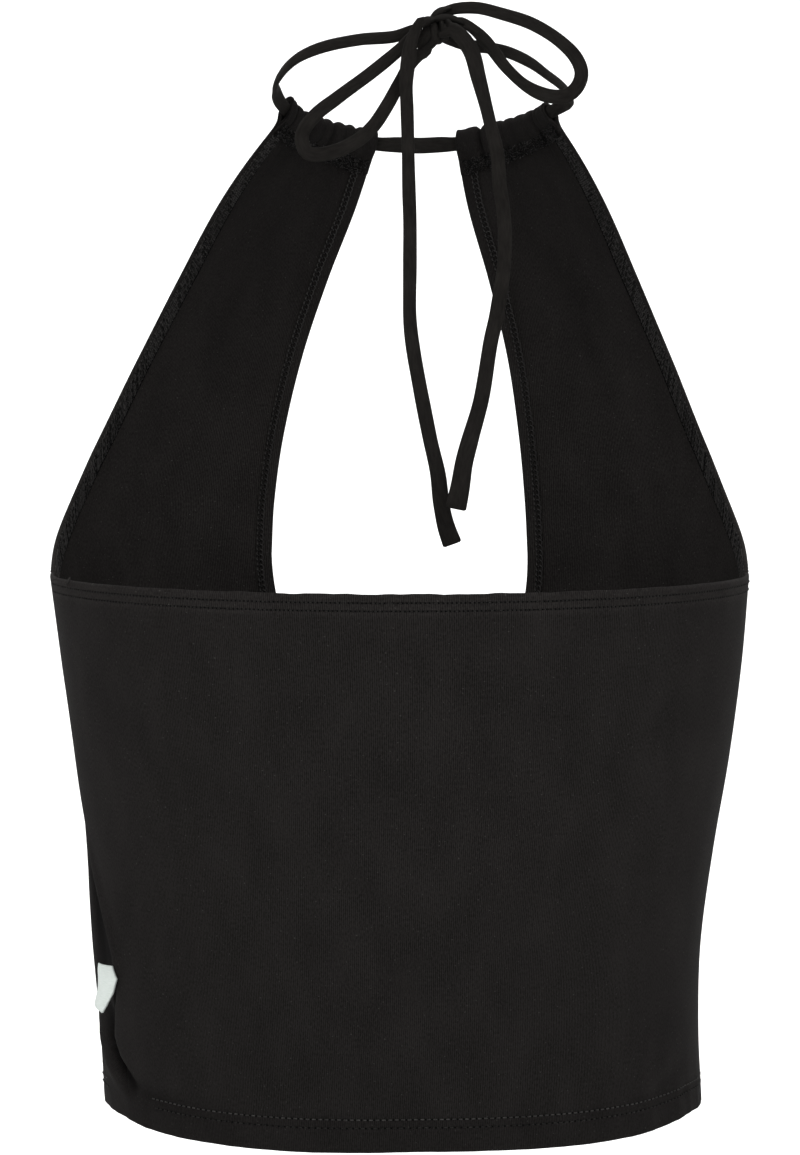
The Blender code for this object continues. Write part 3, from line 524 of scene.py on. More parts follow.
# Mesh making
Node = namedtuple("Node", "point way outer inner cloth hollow")
WELD, SHORTEST, TINY, SLOPE_STEP = 1e-6, 1e-6, 1e-9, 1e-4
TURN_SHARES = (0, 0.06, 0.25, 0.6, 1)  # where a turned edge's round needs points, as shares of its radius
HEM_CELL, RAW_EDGE, BEYOND_HEM = 0.0018, 0.00001, 0.0004
BACK_CELL = 0.0024
SKIRT_STEPS = 44
ROUND_STEPS = 26
LOBE_STEPS = 84
BODY_COLUMNS = 58
UNDERARM_CROWDING = 1.2
FUZZ_SEED, LOOPER_SEED = 11, 5


# --- numbers and lines ------------------------------------------------------------------------------


def between(low, high, share):
    """The number a share of the way from low to high."""
    return low + (high - low) * share


def blend(first, second, share):
    """The row of numbers a share of the way from one row to another."""
    return tuple(between(a, b, share) for a, b in zip(first, second))


def clamp(value, low=0, high=1):
    """The value, held between two limits."""
    return min(max(value, low), high)


def eased(value, start, end):
    """0 up to the start and 1 from the end, on a smooth step between them."""
    t = clamp((value - start) / (end - start))
    return t * t * (3 - 2 * t)


def parts(count):
    """Even shares from 0 to 1."""
    return [i / count for i in range(count + 1)]


def spread(start, end, cell):
    """Evenly spaced numbers from start to end, about a cell apart."""
    count = max(1, round(abs(end - start) / cell))
    return [between(start, end, share) for share in parts(count)]


def read_table(rows, column, key):
    """A column's value at a value of the first column, on a smooth curve through the table's rows."""
    rows = sorted(rows)
    keys = [row[0] for row in rows]
    values = [getattr(row, column) for row in rows]
    key = clamp(key, keys[0], keys[-1])
    i = 0
    while i < len(rows) - 2 and key > keys[i + 1]:
        i += 1
    span = keys[i + 1] - keys[i]

    def slope(k):
        before, after = max(k - 1, 0), min(k + 1, len(rows) - 1)
        return (values[after] - values[before]) / (keys[after] - keys[before])

    t = (key - keys[i]) / span
    rise = values[i + 1] - values[i]
    start, end = slope(i) * span, slope(i + 1) * span
    return values[i] + t * (start + t * (3 * rise - 2 * start - end + t * (start + end - 2 * rise)))


def step_at(points, i):
    """The way along a line of points at one of them."""
    return points[min(i + 1, len(points) - 1)] - points[max(i - 1, 0)]


def lengths_along(points):
    """How far along a line of points each of them lies."""
    lengths = [0.0]
    for a, b in zip(points, points[1:]):
        lengths.append(lengths[-1] + (b - a).length)
    return lengths


def even_steps(points, count, trim=0.0):
    """For count + 1 even steps along a line of points: the point before each, and its share of the way on."""
    lengths = lengths_along(points)
    i = 0
    for n in range(count + 1):
        wanted = between(trim, lengths[-1] - trim, n / count)
        while i < len(points) - 2 and lengths[i + 1] < wanted:
            i += 1
        yield i, (wanted - lengths[i]) / max(lengths[i + 1] - lengths[i], TINY)


def smooth_route(route, count):
    """count + 1 evenly spaced points on a smooth curve through the route's points."""
    route = [Vector(point) for point in route]
    padded = [route[0] * 2 - route[1], *route, route[-1] * 2 - route[-2]]
    dense = []
    for p0, p1, p2, p3 in zip(padded, padded[1:], padded[2:], padded[3:]):
        d01, d12, d23 = (max((b - a).length, SHORTEST) ** 0.5 for a, b in ((p0, p1), (p1, p2), (p2, p3)))
        leave = (p1 - p0) / d01 - (p2 - p0) / (d01 + d12) + (p2 - p1) / d12
        reach = (p2 - p1) / d12 - (p3 - p1) / (d12 + d23) + (p3 - p2) / d23
        leave, reach, rise = leave * d12, reach * d12, p2 - p1
        square, cube = rise * 3 - leave * 2 - reach, leave + reach - rise * 2
        for k in range(ROUTE_STEPS):
            t = k / ROUTE_STEPS
            dense.append(p1 + leave * t + square * t**2 + cube * t**3)
    dense.append(route[-1])
    return [dense[i].lerp(dense[i + 1], share) for i, share in even_steps(dense, count)]


# --- form and places --------------------------------------------------------------------------------


@lru_cache(maxsize=None)
def form_at(height):
    """(centre, half width, front depth, back depth) of the form."""
    table, back = (LOBE, "front") if height > UNDERARM_HEIGHT else (TORSO, "back")
    return [read_table(table, column, height) for column in ("centre", "half_width", "front", back)]


def on_form(height, angle):
    """The point of the form at a place."""
    centre, half_width, front, back = form_at(height)
    depth = front if sin(angle) > 0 else back
    return Vector((centre + half_width * cos(angle), depth * sin(angle), height))


def slopes_at(height, angle):
    """The form's slopes with the angle and with the height."""
    round_it = (on_form(height, angle + SLOPE_STEP) - on_form(height, angle - SLOPE_STEP)) / (2 * SLOPE_STEP)
    up_it = (on_form(height + SLOPE_STEP, angle) - on_form(height - SLOPE_STEP, angle)) / (2 * SLOPE_STEP)
    return round_it, up_it


@lru_cache(maxsize=None)
def out_of(height, angle):
    """The way out of the form."""
    round_it, up_it = slopes_at(height, angle)
    return round_it.cross(up_it).normalized()


def place_of(point):
    """(height, angle) of the place on the form under a point."""
    centre, half_width, front, back = form_at(point.z)
    depth = front if point.y > 0 else back
    return point.z, atan2(point.y / depth, (point.x - centre) / half_width) % (2 * pi)


def side_seam(height, side):
    """The angle of a side seam."""
    if side > 0:
        return 0.0
    return pi + radians(read_table(LEFT_SEAM, "swing", height))


def seam_gap(height):
    """Half a seam's gap, as an angle."""
    return SEAM_GAP / 2 / form_at(height)[3]


def seam_place(height, side):
    """A place on the front's edge at a side seam."""
    return height, side_seam(height, side) + side * seam_gap(height)


def mirrored(angle, side):
    """An angle of the right half, or its mirror image on the left."""
    return angle if side > 0 else pi - angle


def armhole_place(height, side):
    """A place on an armhole's edge."""
    share = read_table(LOBE, "armhole_forward", height) / read_table(LOBE, "front", height)
    return height, mirrored(atan2(share, sqrt(1 - share * share)), side)


def keyhole_place(height, side):
    """A place on half the keyhole's edge, above its round lower end."""
    share = read_table(LOBE, "keyhole_half", height) / read_table(LOBE, "half_width", height)
    return height, mirrored(atan2(sqrt(1 - share * share), share), side)


def keyhole_round_place(turn, side):
    """A place on the keyhole's round lower end: turn is 0 at its bottom and a right angle at its widest."""
    height = UNDERARM_HEIGHT - (UNDERARM_HEIGHT - KEYHOLE_BOTTOM) * cos(turn)
    share = LOBE[0].keyhole_half * sin(turn) ** KEYHOLE_ROUND / form_at(height)[1]
    return height, mirrored(atan2(sqrt(1 - share * share), share), side)


def casing_at(share):
    """The casing at a share of its way from the inner to the outer end."""
    return CasingEnd(*blend(CASING_INNER, CASING_OUTER, share))


def casing_angle(share, height, side):
    """The angle at a share of the way from the keyhole to the armhole, at one height."""
    return between(keyhole_place(height, side)[1], armhole_place(height, side)[1], share)


def down_casing(share, side, drop):
    """The place a distance below the casing's middle line, measured on the cloth."""
    middle = casing_at(share).height
    _, up_it = slopes_at(middle, casing_angle(share, middle, side))
    height = middle - drop / up_it.length
    return height, casing_angle(share, height, side)


def casing_lift(share, side):
    """How far the left casing's top moves up towards its outer end."""
    return CASING_LIFT * (0.0 if side > 0 else eased(share, CASING_LIFT_FROM, 1))


def joining_place(share, side):
    """Where the lobe's cloth goes over into its casing."""
    return down_casing(share, side, casing_at(share).half_channel - CASING_SECTION[0].more)


# --- relief -----------------------------------------------------------------------------------------


def near_path(point, path):
    """How far a point is from a path of points, and its share of the way along the path."""
    best, share = None, 0.0
    for i, (a, b) in enumerate(zip(path, path[1:])):
        step = b - a
        t = clamp((point - a).dot(step) / step.length_squared)
        gone = (point - a - step * t).length
        if best is None or gone < best:
            best, share = gone, (i + t) / (len(path) - 1)
    return best, share


@lru_cache(maxsize=None)
def fold_lines():
    """Each fold with the points of its line on the form, and the box that it reaches over."""
    lines = []
    for fold in FOLDS:
        path = [on_form(height, radians(turn)) for height, turn in fold.path]
        low = Vector(min(p[k] for p in path) - FOLD_REACH * fold.width for k in range(3))
        high = Vector(max(p[k] for p in path) + FOLD_REACH * fold.width for k in range(3))
        lines.append((fold, path, low, high))
    return lines


def folds_at(point):
    """How far out the folds move a point on the form."""
    out = 0.0
    for fold, path, low, high in fold_lines():
        if all(low[k] < point[k] < high[k] for k in range(3)):
            gone, share = near_path(point, path)
            taper = sin(pi * between(*FOLD_ENDS, share)) ** FOLD_TAPER
            out -= fold.depth * taper * exp(-((gone / fold.width) ** 2))
    return out


def gather_depth(share, side):
    """How deep the gathers are at a share of a casing's way outwards."""
    gathers = GATHERS_RIGHT if side > 0 else GATHERS_LEFT
    return sum(g.depth * exp(-(((share - g.share) / g.width) ** 2)) for g in gathers)


def gathers_at(height, angle):
    """How far out the casing's gathers move the lobe below it."""
    if height <= GATHERS_FROM:
        return 0.0
    side = 1 if angle < pi / 2 else -1
    inner, outer = keyhole_place(height, side)[1], armhole_place(height, side)[1]
    share = (angle - inner) / (outer - inner)
    below = casing_at(clamp(share)).height - casing_at(share).half_channel - height
    return -gather_depth(share, side) * exp(-max(below, 0) / GATHER_FADE)


def waver_at(height, angle):
    """The slight waver of the bottom and back top edges, which their stitches cause."""
    strength = exp(-(((height - HEM_HEIGHT) / WAVER_DEPTH) ** 2))
    if angle > pi:
        strength += exp(-(((UNDERARM_HEIGHT - height) / WAVER_DEPTH) ** 2)) * sin(angle) ** 2
    return strength * sum(w.height * sin(w.waves * angle + w.phase) for w in WAVERS)


def seams_at(height, angle):
    """The cloth rolls in towards the side seams, except at the hem."""
    start = HEM_HEIGHT + SEAM_FADE_START
    out = 0.0
    for side in (1, -1):
        turned = (angle - side_seam(height, side) + pi) % (2 * pi) - pi
        out -= SEAM_DIP * exp(-((turned * MEAN_RADIUS / SEAM_ROLL) ** 2))
    return out * eased(height, start, start + SEAM_FADE)


def sag_at(height, angle):
    """How far up the bottom edge's own line moves the cloth."""
    rise = read_table(HEM_SAGS, "rise", angle * 180 / pi % 360)
    return rise * exp(-(((height - HEM_HEIGHT) / SAG_FADE) ** 2))


@lru_cache(maxsize=None)
def relief(height, angle):
    """How far out the cloth stands from the form."""
    out = folds_at(on_form(height, angle)) + gathers_at(height, angle)
    return out + waver_at(height, angle) + seams_at(height, angle)


def on_cloth(place, out=0.0):
    """The point of the cloth's middle at a place, or a distance out from it."""
    height, angle = place
    point = on_form(height, angle) + out_of(height, angle) * (relief(height, angle) + out)
    return point + Vector((0, 0, sag_at(height, angle)))


def hollow_of(depth):
    """0 where the cloth isn't below its form, up to 1 deep in a fold: how much painted shade it gets."""
    return clamp(depth / DEEP_FOLD) ** HOLLOW_POWER


# --- mesh making ------------------------------------------------------------------------------------


def new_object(name, data):
    """An object in the scene."""
    made = bpy.data.objects.new(name, data)
    bpy.context.scene.collection.objects.link(made)
    return made


class Piece:
    """The points of one mesh, with their cloth coordinates and how hollow they lie, which sets their painted
    shade, and its faces.
    """

    def __init__(self):
        self.points = []
        self.faces = []
        self.cloth = []
        self.hollows = []

    def add(self, point, cloth=(0.0, 0.0), hollow=0.0):
        """A point, and its number."""
        self.points.append(point)
        self.cloth.append(cloth)
        self.hollows.append(hollow)
        return len(self.points) - 1

    def grid(self, rows, flip=False):
        """Faces between rows of point numbers."""
        for low, high in zip(rows, rows[1:]):
            for i in range(len(low) - 1):
                face = (low[i], low[i + 1], high[i + 1], high[i])
                self.faces.append(face[::-1] if flip else face)

    def loft(self, rings, closed=False):
        """Faces between rings of points, with flat ends unless the rings close on themselves."""
        numbers = [[self.add(*entry) for entry in ring] for ring in rings]
        looped = [[*ring, ring[0]] for ring in numbers]
        if closed:
            looped.append(looped[0])
        else:
            self.faces.append(numbers[0][::-1])
            self.faces.append(numbers[-1])
        self.grid(looped)

    def make(self, name, finish, slot, *nodes, weld=0.0):
        """The mesh in the scene, on its body, in place of the nodes that it replaces. Its slot is not used.
        """
        data = bpy.data.meshes.new(name)
        data.from_pydata(self.points, [], self.faces)
        layer = data.uv_layers.new(name=CLOTH)
        corners = [0] * len(data.loops)
        data.loops.foreach_get("vertex_index", corners)
        layer.data.foreach_set("uv", [number for corner in corners for number in self.cloth[corner]])
        data.attributes.new(HOLLOW, "FLOAT", "POINT").data.foreach_set("value", self.hollows)
        mesh = bmesh.new()
        mesh.from_mesh(data)
        if weld:
            bmesh.ops.remove_doubles(mesh, verts=mesh.verts, dist=weld)
        bmesh.ops.recalc_face_normals(mesh, faces=mesh.faces)
        mesh.to_mesh(data)
        mesh.free()
        data.shade_smooth()
        data.materials.append(finish)
        made = new_object(name, data)
        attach(made, "root")
        if nodes:
            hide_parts(*nodes)
        return made


def fold_shape(edges):
    """(outer, inner) offsets of the cloth from its middle, from pairs of distance and hem depth: a turned
    edge is round, and its hem is thicker on the inside as far as the raw edge."""
    outer, inner = OUTSIDE, WRONG_SIDE
    if any(gone < depth for gone, depth in edges):
        inner = HEM_SIDE
    radius, middle = (outer - inner) / 2, (outer + inner) / 2
    nearest = min([gone for gone, depth in edges if depth] or [radius])
    if nearest < radius:
        radius = sqrt(max(radius**2 - (radius - nearest) ** 2, 0))
    return middle + radius, middle - radius


def edge_steps(depth):
    """Distances from a turned edge at which the cloth needs points: round the fold, and at the raw edge."""
    radius = (JERSEY + TURNED) / 2
    count = max(2, round((depth - radius) / HEM_CELL))
    flat = [between(radius, depth - RAW_EDGE, share) for share in parts(count)[1:]]
    return [radius * share for share in TURN_SHARES] + flat + [depth + BEYOND_HEM]


def cloth_node(place, edges):
    """A node of the cloth at a place, with its distances from turned edges and their hems' depths."""
    height, angle = place
    outer, inner = fold_shape(edges)
    # How hollow the place lies in folds and gathers, which sets its painted shade
    hollow = hollow_of(-folds_at(on_form(height, angle)) - gathers_at(height, angle))
    return Node(on_cloth(place), out_of(height, angle), outer, inner, (angle * MEAN_RADIUS, height), hollow)


def wall(piece, rows, rims=()):
    """Both faces of a stretch of cloth from rows of nodes, and its cut edges."""
    outside = [[piece.add(n.point + n.way * n.outer, n.cloth, n.hollow) for n in row] for row in rows]
    inside = [[piece.add(n.point + n.way * n.inner, n.cloth, n.hollow) for n in row] for row in rows]
    piece.grid(outside)
    piece.grid(inside, flip=True)
    edges = {
        "first": (outside[0], inside[0]),
        "last": (outside[-1], inside[-1]),
        "left": ([row[0] for row in outside], [row[0] for row in inside]),
        "right": ([row[-1] for row in outside], [row[-1] for row in inside]),
    }
    for rim in rims:
        piece.grid(edges[rim])


# --- panels -----------------------------------------------------------------------------------------


def back_cloth(jersey):
    """The back, from the left seam round to the right one, with its top and bottom edges turned in."""
    low, high = edge_steps(BOTTOM_HEM), edge_steps(BACK_TOP_HEM)
    heights = [HEM_HEIGHT + gone for gone in low]
    heights += spread(HEM_HEIGHT + low[-1], UNDERARM_HEIGHT - high[-1], BACK_CELL)[1:-1]
    heights += [UNDERARM_HEIGHT - gone for gone in reversed(high)]
    girth = pi * MEAN_RADIUS
    near = [gone / girth for gone in NEAR_SEAM]
    shares = near + spread(near[-1], 1 - near[-1], BACK_CELL / girth)[1:-1]
    shares += [1 - share for share in reversed(near)]
    rows = []
    for height in heights:
        edges = ((height - HEM_HEIGHT, BOTTOM_HEM), (UNDERARM_HEIGHT - height, BACK_TOP_HEM))
        start, end = side_seam(height, -1) + seam_gap(height), 2 * pi - seam_gap(height)
        rows.append([cloth_node((height, between(start, end, share)), edges) for share in shares])
    piece = Piece()
    wall(piece, rows, ("left", "right"))
    nodes = ("back_panel", "back_top_hem", "bottom_hem_back")
    made = piece.make("back_cloth", jersey, "black_jersey", *nodes, weld=WELD)


def seam_allowances(jersey):
    """The two panels' edges, overlocked together flat on the wrong side of each side seam."""
    piece = Piece()
    heights = spread(HEM_HEIGHT + ALLOWANCE_ENDS, UNDERARM_HEIGHT - ALLOWANCE_ENDS, ALLOWANCE_CELL)
    for side in (1, -1):
        rows = []
        for height in heights:
            row = []
            for along in ALLOWANCE_COLUMNS:
                node = cloth_node((height, side_seam(height, side) + along / MEAN_RADIUS), ())
                row.append(node._replace(outer=WRONG_SIDE + ALLOWANCE_SUNK, inner=HEM_SIDE - ALLOWANCE_SUNK))
            rows.append(row)
        wall(piece, rows, ("first", "last", "left", "right"))
    piece.make("seam_allowances", jersey, "black_jersey_inside")


def line_beside(edge, depth, side):
    """Places a distance into the cloth from an edge that runs up, for the half on one side."""
    points = [on_form(*place) for place in edge]
    line = []
    for i, (place, point) in enumerate(zip(edge, points)):
        round_it, up_it = slopes_at(*place)
        across = round_it.cross(up_it).cross(step_at(points, i)).normalized() * side
        line.append(place_of(point + across * depth))
    return line


def top_share(depth, side):
    """A distance as a share of the lobe's top edge."""
    return depth / (on_form(*joining_place(0, side)) - on_form(*joining_place(1, side))).length


@lru_cache(maxsize=None)
def armhole(side):
    """The armhole edge from the underarm up to the casing."""
    high = joining_place(1, side)[0]
    shares = [share**UNDERARM_CROWDING for share in parts(LOBE_STEPS)]
    edge = [armhole_place(between(UNDERARM_HEIGHT, high, share), side) for share in shares]
    edge[0] = seam_place(UNDERARM_HEIGHT, side)
    edge[-1] = joining_place(1, side)
    return edge


@lru_cache(maxsize=None)
def keyhole(side):
    """Half the keyhole's edge from its bottom up to the casing."""
    high = joining_place(0, side)[0]
    edge = [keyhole_round_place(share * pi / 2, side) for share in parts(ROUND_STEPS)[:-1]]
    edge += [keyhole_place(between(UNDERARM_HEIGHT, high, share), side) for share in parts(LOBE_STEPS)]
    edge[-1] = joining_place(0, side)
    return edge


@lru_cache(maxsize=None)
def beside_armhole(side, depth):
    """The line a distance into the cloth from the armhole's edge."""
    line = line_beside(armhole(side), depth, -side)
    line[0] = seam_place(UNDERARM_HEIGHT - depth, side)
    line[-1] = joining_place(1 - top_share(depth, side), side)
    return line


@lru_cache(maxsize=None)
def beside_keyhole(side, depth):
    """The line a distance into the cloth from half the keyhole's edge."""
    line = line_beside(keyhole(side), depth, side)
    line[0] = (KEYHOLE_BOTTOM - depth, pi / 2)
    line[-1] = joining_place(top_share(depth, side), side)
    return line


def seam_shares(first, last):
    """Shares of the way between two places that crowd beside the first, at a side seam."""
    length = (on_form(*first) - on_form(*last)).length
    near = [gone / length for gone in NEAR_SEAM]
    return near + [between(near[-1], 1, share) for share in parts(BODY_COLUMNS - len(near) + 1)[1:]]


def skirt_rows(side):
    """The front's half below the underarm, from its seam to its middle or to the line round the keyhole."""
    low = [HEM_HEIGHT + gone for gone in edge_steps(BOTTOM_HEM)]
    pairs = [(height, (height, pi / 2)) for height in low]
    round_line = beside_keyhole(side, KEYHOLE_HEM + BEYOND_HEM)
    seam_top = UNDERARM_HEIGHT - ARMHOLE_HEM - BEYOND_HEM
    for i, share in enumerate(parts(SKIRT_STEPS + ROUND_STEPS)[1:], 1):
        if i < SKIRT_STEPS:
            middle = (between(low[-1], round_line[0][0], i / SKIRT_STEPS), pi / 2)
        else:
            middle = round_line[i - SKIRT_STEPS]
        pairs.append((between(low[-1], seam_top, share), middle))
    rows = []
    for seam_height, middle in pairs:
        edge = seam_place(seam_height, side)
        places = [blend(edge, middle, share) for share in seam_shares(edge, middle)]
        rows.append([cloth_node(place, ((place[0] - HEM_HEIGHT, BOTTOM_HEM),)) for place in places])
    return rows


def lobe_rows(side):
    """The lobe between the lines beside its armhole and keyhole, from the underarm up to the casing."""
    armhole_in, keyhole_in = ARMHOLE_HEM + BEYOND_HEM, KEYHOLE_HEM + BEYOND_HEM
    left, right = beside_armhole(side, armhole_in), beside_keyhole(side, keyhole_in)[ROUND_STEPS:]
    even = parts(BODY_COLUMNS)
    rows = []
    for k, (a, b) in enumerate(zip(left, right)):
        shares = even if k else seam_shares(a, b)
        rows.append([cloth_node(blend(a, b, share), ()) for share in shares])
    low, high = top_share(keyhole_in, side), 1 - top_share(armhole_in, side)
    rows[-1] = [cloth_node(joining_place(between(high, low, share), side), ()) for share in even]
    return rows


def hem_rows(beside, side, hem):
    """Rows of nodes across a turned edge that runs up, from the edge to the raw edge of its hem."""
    steps = edge_steps(hem)
    rows = zip(*(beside(side, gone) for gone in steps))
    return [[cloth_node(place, ((gone, hem),)) for place, gone in zip(row, steps)] for row in rows]


def section_path(end):
    """Evenly spaced (out, up) points of the casing's section, in the casing at one place."""
    route = []
    for point in CASING_SECTION:
        up = point.channels * end.half_channel + point.flanges * end.flange + point.more
        route.append(Vector((point.out, up, 0)))
    return smooth_route(route, SECTION_STEPS)


def gather_hold(done):
    """How much of the gathers the casing takes up, at a share of the way along its section."""
    from_joining = between(JOINING_HOLD, 1.0, min(done / FULL_HOLD_FROM, 1))
    return from_joining * between(1.0, FLANGE_HOLD, max(done - FULL_HOLD_TO, 0) / (1 - FULL_HOLD_TO))


def casing_column(side, share):
    """Points along the casing's section at a share of its way outwards, gathered and flattened."""
    end = casing_at(share)
    path = section_path(end)
    column = [on_cloth(joining_place(share, side))]
    for k in range(1, SECTION_STEPS + 1):
        along = step_at(path, k)
        sideways = Vector((along.y, -along.x, 0)).normalized()
        moved = path[k] - sideways * gather_depth(share, side) * gather_hold(k / SECTION_STEPS)
        moved.x *= between(1.0, CASING_FLAT, eased(share, CASING_FLAT_FROM, 1))
        lift = casing_lift(share, side) * eased(moved.y, -end.half_channel, end.half_channel)
        place = down_casing(share, side, -moved.y)
        column.append(on_form(*place) + out_of(*place) * moved.x + lift)
    return column


def casing_nodes(side, shares, edges_at):
    """Rows of nodes round a casing, one for each step of its section, at shares of its way outwards."""
    columns = [casing_column(side, share) for share in shares]
    turn = -1 if (shares[-1] - shares[0]) * side > 0 else 1
    rows = []
    for k, line in enumerate(zip(*columns)):
        row = []
        for c, share in enumerate(shares):
            join = joining_place(share, side)
            way = out_of(*join)
            if k:
                way = step_at(line, c).cross(step_at(columns[c], k)).normalized() * turn
            cloth = (join[1] * MEAN_RADIUS, join[0] + k * SECTION_CLOTH)
            # Painted shade in the casing's gathers
            hollow = hollow_of(gather_depth(share, side))
            row.append(Node(line[c], way, *fold_shape(edges_at(share)), cloth, hollow))
        rows.append(row)
    return rows


def front_cloth(jersey):
    """The front: skirt, lobes and their turned edges, and the casings in one with the lobes."""
    piece = Piece()
    for side in (1, -1):
        wall(piece, skirt_rows(side), ("left",))
        wall(piece, lobe_rows(side))
        wall(piece, hem_rows(beside_armhole, side, ARMHOLE_HEM), ("first",))
        wall(piece, hem_rows(beside_keyhole, side, KEYHOLE_HEM))
        from_armhole = [1 - top_share(gone, side) for gone in edge_steps(ARMHOLE_HEM)]
        to_keyhole = [top_share(gone, side) for gone in reversed(edge_steps(KEYHOLE_HEM))]
        middle = [between(from_armhole[-1], to_keyhole[0], share) for share in parts(BODY_COLUMNS)[1:-1]]
        whole = top_share(1.0, side)

        def edges_at(share):
            return ((share / whole, KEYHOLE_HEM), ((1 - share) / whole, ARMHOLE_HEM))

        wall(piece, casing_nodes(side, from_armhole + middle + to_keyhole, edges_at), ("last",))
    nodes = ("front_panel", "keyhole_hem", "armhole_hem_left", "armhole_hem_right", "bottom_hem_front")
    nodes += ("casing_left", "casing_right")
    made = piece.make("front_cloth", jersey, "black_jersey", *nodes, weld=WELD)


# --- string -----------------------------------------------------------------------------------------


def from_knot(way_out, further=0.0):
    """A point just off the knot's surface, or further out."""
    way = Vector(way_out).normalized()
    reach = 1 / sqrt(sum((way[k] / KNOT_RADII[k]) ** 2 for k in range(3)))
    return KNOT_CENTRE + way * (reach + KNOT_GAP + further)


def leave_knot(way_out, route):
    """A route of points that begins at the knot."""
    return [from_knot(way_out), from_knot(way_out, KNOT_STUB), *map(Vector, route)]


def lie_at(table, share):
    """How the string lies at a share of its route, eased between the table's rows."""
    for low, high in zip(table, table[1:]):
        if share <= high.share:
            return Lie(*blend(low, high, eased(share, low.share, high.share)))
    return table[-1]


def turned_round(lies):
    """How the mirror image of a stretch lies, from its other end."""
    return [lie._replace(share=1 - lie.share, x=-lie.x) for lie in reversed(lies)]


def flat_ring(centre, along, face, width, thick):
    """A ring of points round a flat string, straight in its faces and round at its edges, each with its
    distance across."""
    face = (face - along * face.dot(along)).normalized()
    across = along.cross(face)
    ring = []
    for k in range(TIE_SIDES):
        c, s = cos(2 * pi * k / TIE_SIDES), sin(2 * pi * k / TIE_SIDES)
        x = width / 2 * copysign(abs(c) ** TIE_SQUARE[0], c)
        y = thick / 2 * copysign(abs(s) ** TIE_SQUARE[1], s)
        ring.append((centre + across * x + face * y, x))
    return ring


def tie_rings(points, lies):
    """Rings of a flat string along points, lying as its table says, with a slight waver in its width."""
    rings = []
    for i, (point, gone) in enumerate(zip(points, lengths_along(points))):
        lie = lie_at(lies, i / (len(points) - 1))
        short_wave = sin(gone / TIE_WAVES[0] + lies[0].x * TIE_PHASES[0])
        long_wave = sin(gone / TIE_WAVES[1] + TIE_PHASES[1])
        width = TIE_WIDTH * lie.width * (1 + TIE_WAVER * short_wave * long_wave)
        face = Vector((lie.x, lie.y, lie.z))
        ring = flat_ring(point, step_at(points, i).normalized(), face, width, TIE_THICK * lie.thick)
        rings.append([(spot, (x, gone)) for spot, x in ring])
    return rings


def tie_piece(name, tie, points, lies, node):
    """A flat string along points, its last ring drawn in on itself as a sewn end."""
    rings = tie_rings(points, lies)
    step = (points[-1] - points[-2]).normalized() * END_STEP
    rings.append([(points[-1] + (spot - points[-1]) * END_SHRINK + step, cloth) for spot, cloth in rings[-1]])
    piece = Piece()
    piece.loft(rings)
    return piece.make(name, tie, "black_tie", node)


def free_string(tie, string):
    """A string that leaves the knot, with a free end or back into the knot."""
    route = leave_knot(string.way_out, string.route)
    if string.way_back:
        route += leave_knot(string.way_back, ())[::-1]
    points = smooth_route(route, round(lengths_along(route)[-1] / RING_SPACING))
    made = tie_piece(string.name, tie, points, string.lies, string.name)


def string_in_casing(side):
    """The string's way through a casing, from its inner to its outer end."""
    shares = parts(CASING_STRING_STEPS)
    return [on_form(*down_casing(share, side, 0)) + casing_lift(share, side) / 2 for share in shares]


def neck_string(tie):
    """The string round the neck, out of the knot, through both casings and into the knot again."""
    stretches = (
        (leave_knot(OUT_NECK_LEFT, NECK_LEFT), LIE_NECK_LEFT),
        (string_in_casing(-1)[::-1], LIE_CASING_LEFT),
        ([*map(Vector, NECK_FRONT)], LIE_NECK_FRONT),
        (string_in_casing(1), turned_round(LIE_CASING_LEFT)),
        (leave_knot(OUT_NECK_RIGHT, NECK_RIGHT[::-1])[::-1], turned_round(LIE_NECK_LEFT)),
    )
    route = [spot for spots, _ in stretches for spot in spots]
    lengths = lengths_along(route)
    lies, first = [], 0
    for spots, table in stretches:
        last = first + len(spots) - 1
        start, end = lengths[first] / lengths[-1], lengths[last] / lengths[-1]
        lies += [lie._replace(share=between(start, end, lie.share)) for lie in table]
        first = last + 1
    points = smooth_route(route, round(lengths[-1] / RING_SPACING))
    tie_piece("neck_string", tie, points, lies, "drawstring_neck")


def painted_edge_shade(across, wide):
    """How much painted shade a strand of the knot gets, from nought at its middle to 1 at its edges, where it
    is pressed on the next.
    """
    return min(abs(2 * across / wide), 1) ** 3


def knot_wrap(piece):
    """The strand that goes round the bow's middle."""
    rings = []
    leant = -WRAP_LEAN * WRAP_RADII[1]
    for i in range(WRAP_STEPS):
        turn = 2 * pi * i / WRAP_STEPS
        c, s = cos(turn), sin(turn)
        centre = KNOT_CENTRE + WRAP_OFFSET + Vector((leant * s, c * WRAP_RADII[0], s * WRAP_RADII[1]))
        along = Vector((leant * c, -s * WRAP_RADII[0], c * WRAP_RADII[1])).normalized()
        wide = WRAP_WIDTH - WRAP_NARROWING * s
        ring = flat_ring(centre, along, Vector((0, c, s)), wide, WRAP_THICK)
        rings.append([(spot, (x, turn * WRAP_RADII[0]), painted_edge_shade(x, wide)) for spot, x in ring])
    piece.loft(rings, closed=True)


def knot_strand(piece, strand):
    """One of the strands over the knot, thinner towards both its ends."""
    points = smooth_route([KNOT_CENTRE + Vector(spot) for spot in strand.path], STRAND_STEPS)
    rings = []
    for i, point in enumerate(points):
        swell = between(STRAND_END, 1, sin(pi * clamp(i / STRAND_STEPS, *STRAND_TAPER)))
        wide = strand.width * swell
        along = step_at(points, i).normalized()
        ring = flat_ring(point, along, point - KNOT_CENTRE, wide, strand.thick * swell)
        rings.append([(spot, (x, i * STRAND_CLOTH), painted_edge_shade(x, wide)) for spot, x in ring])
    piece.loft(rings)


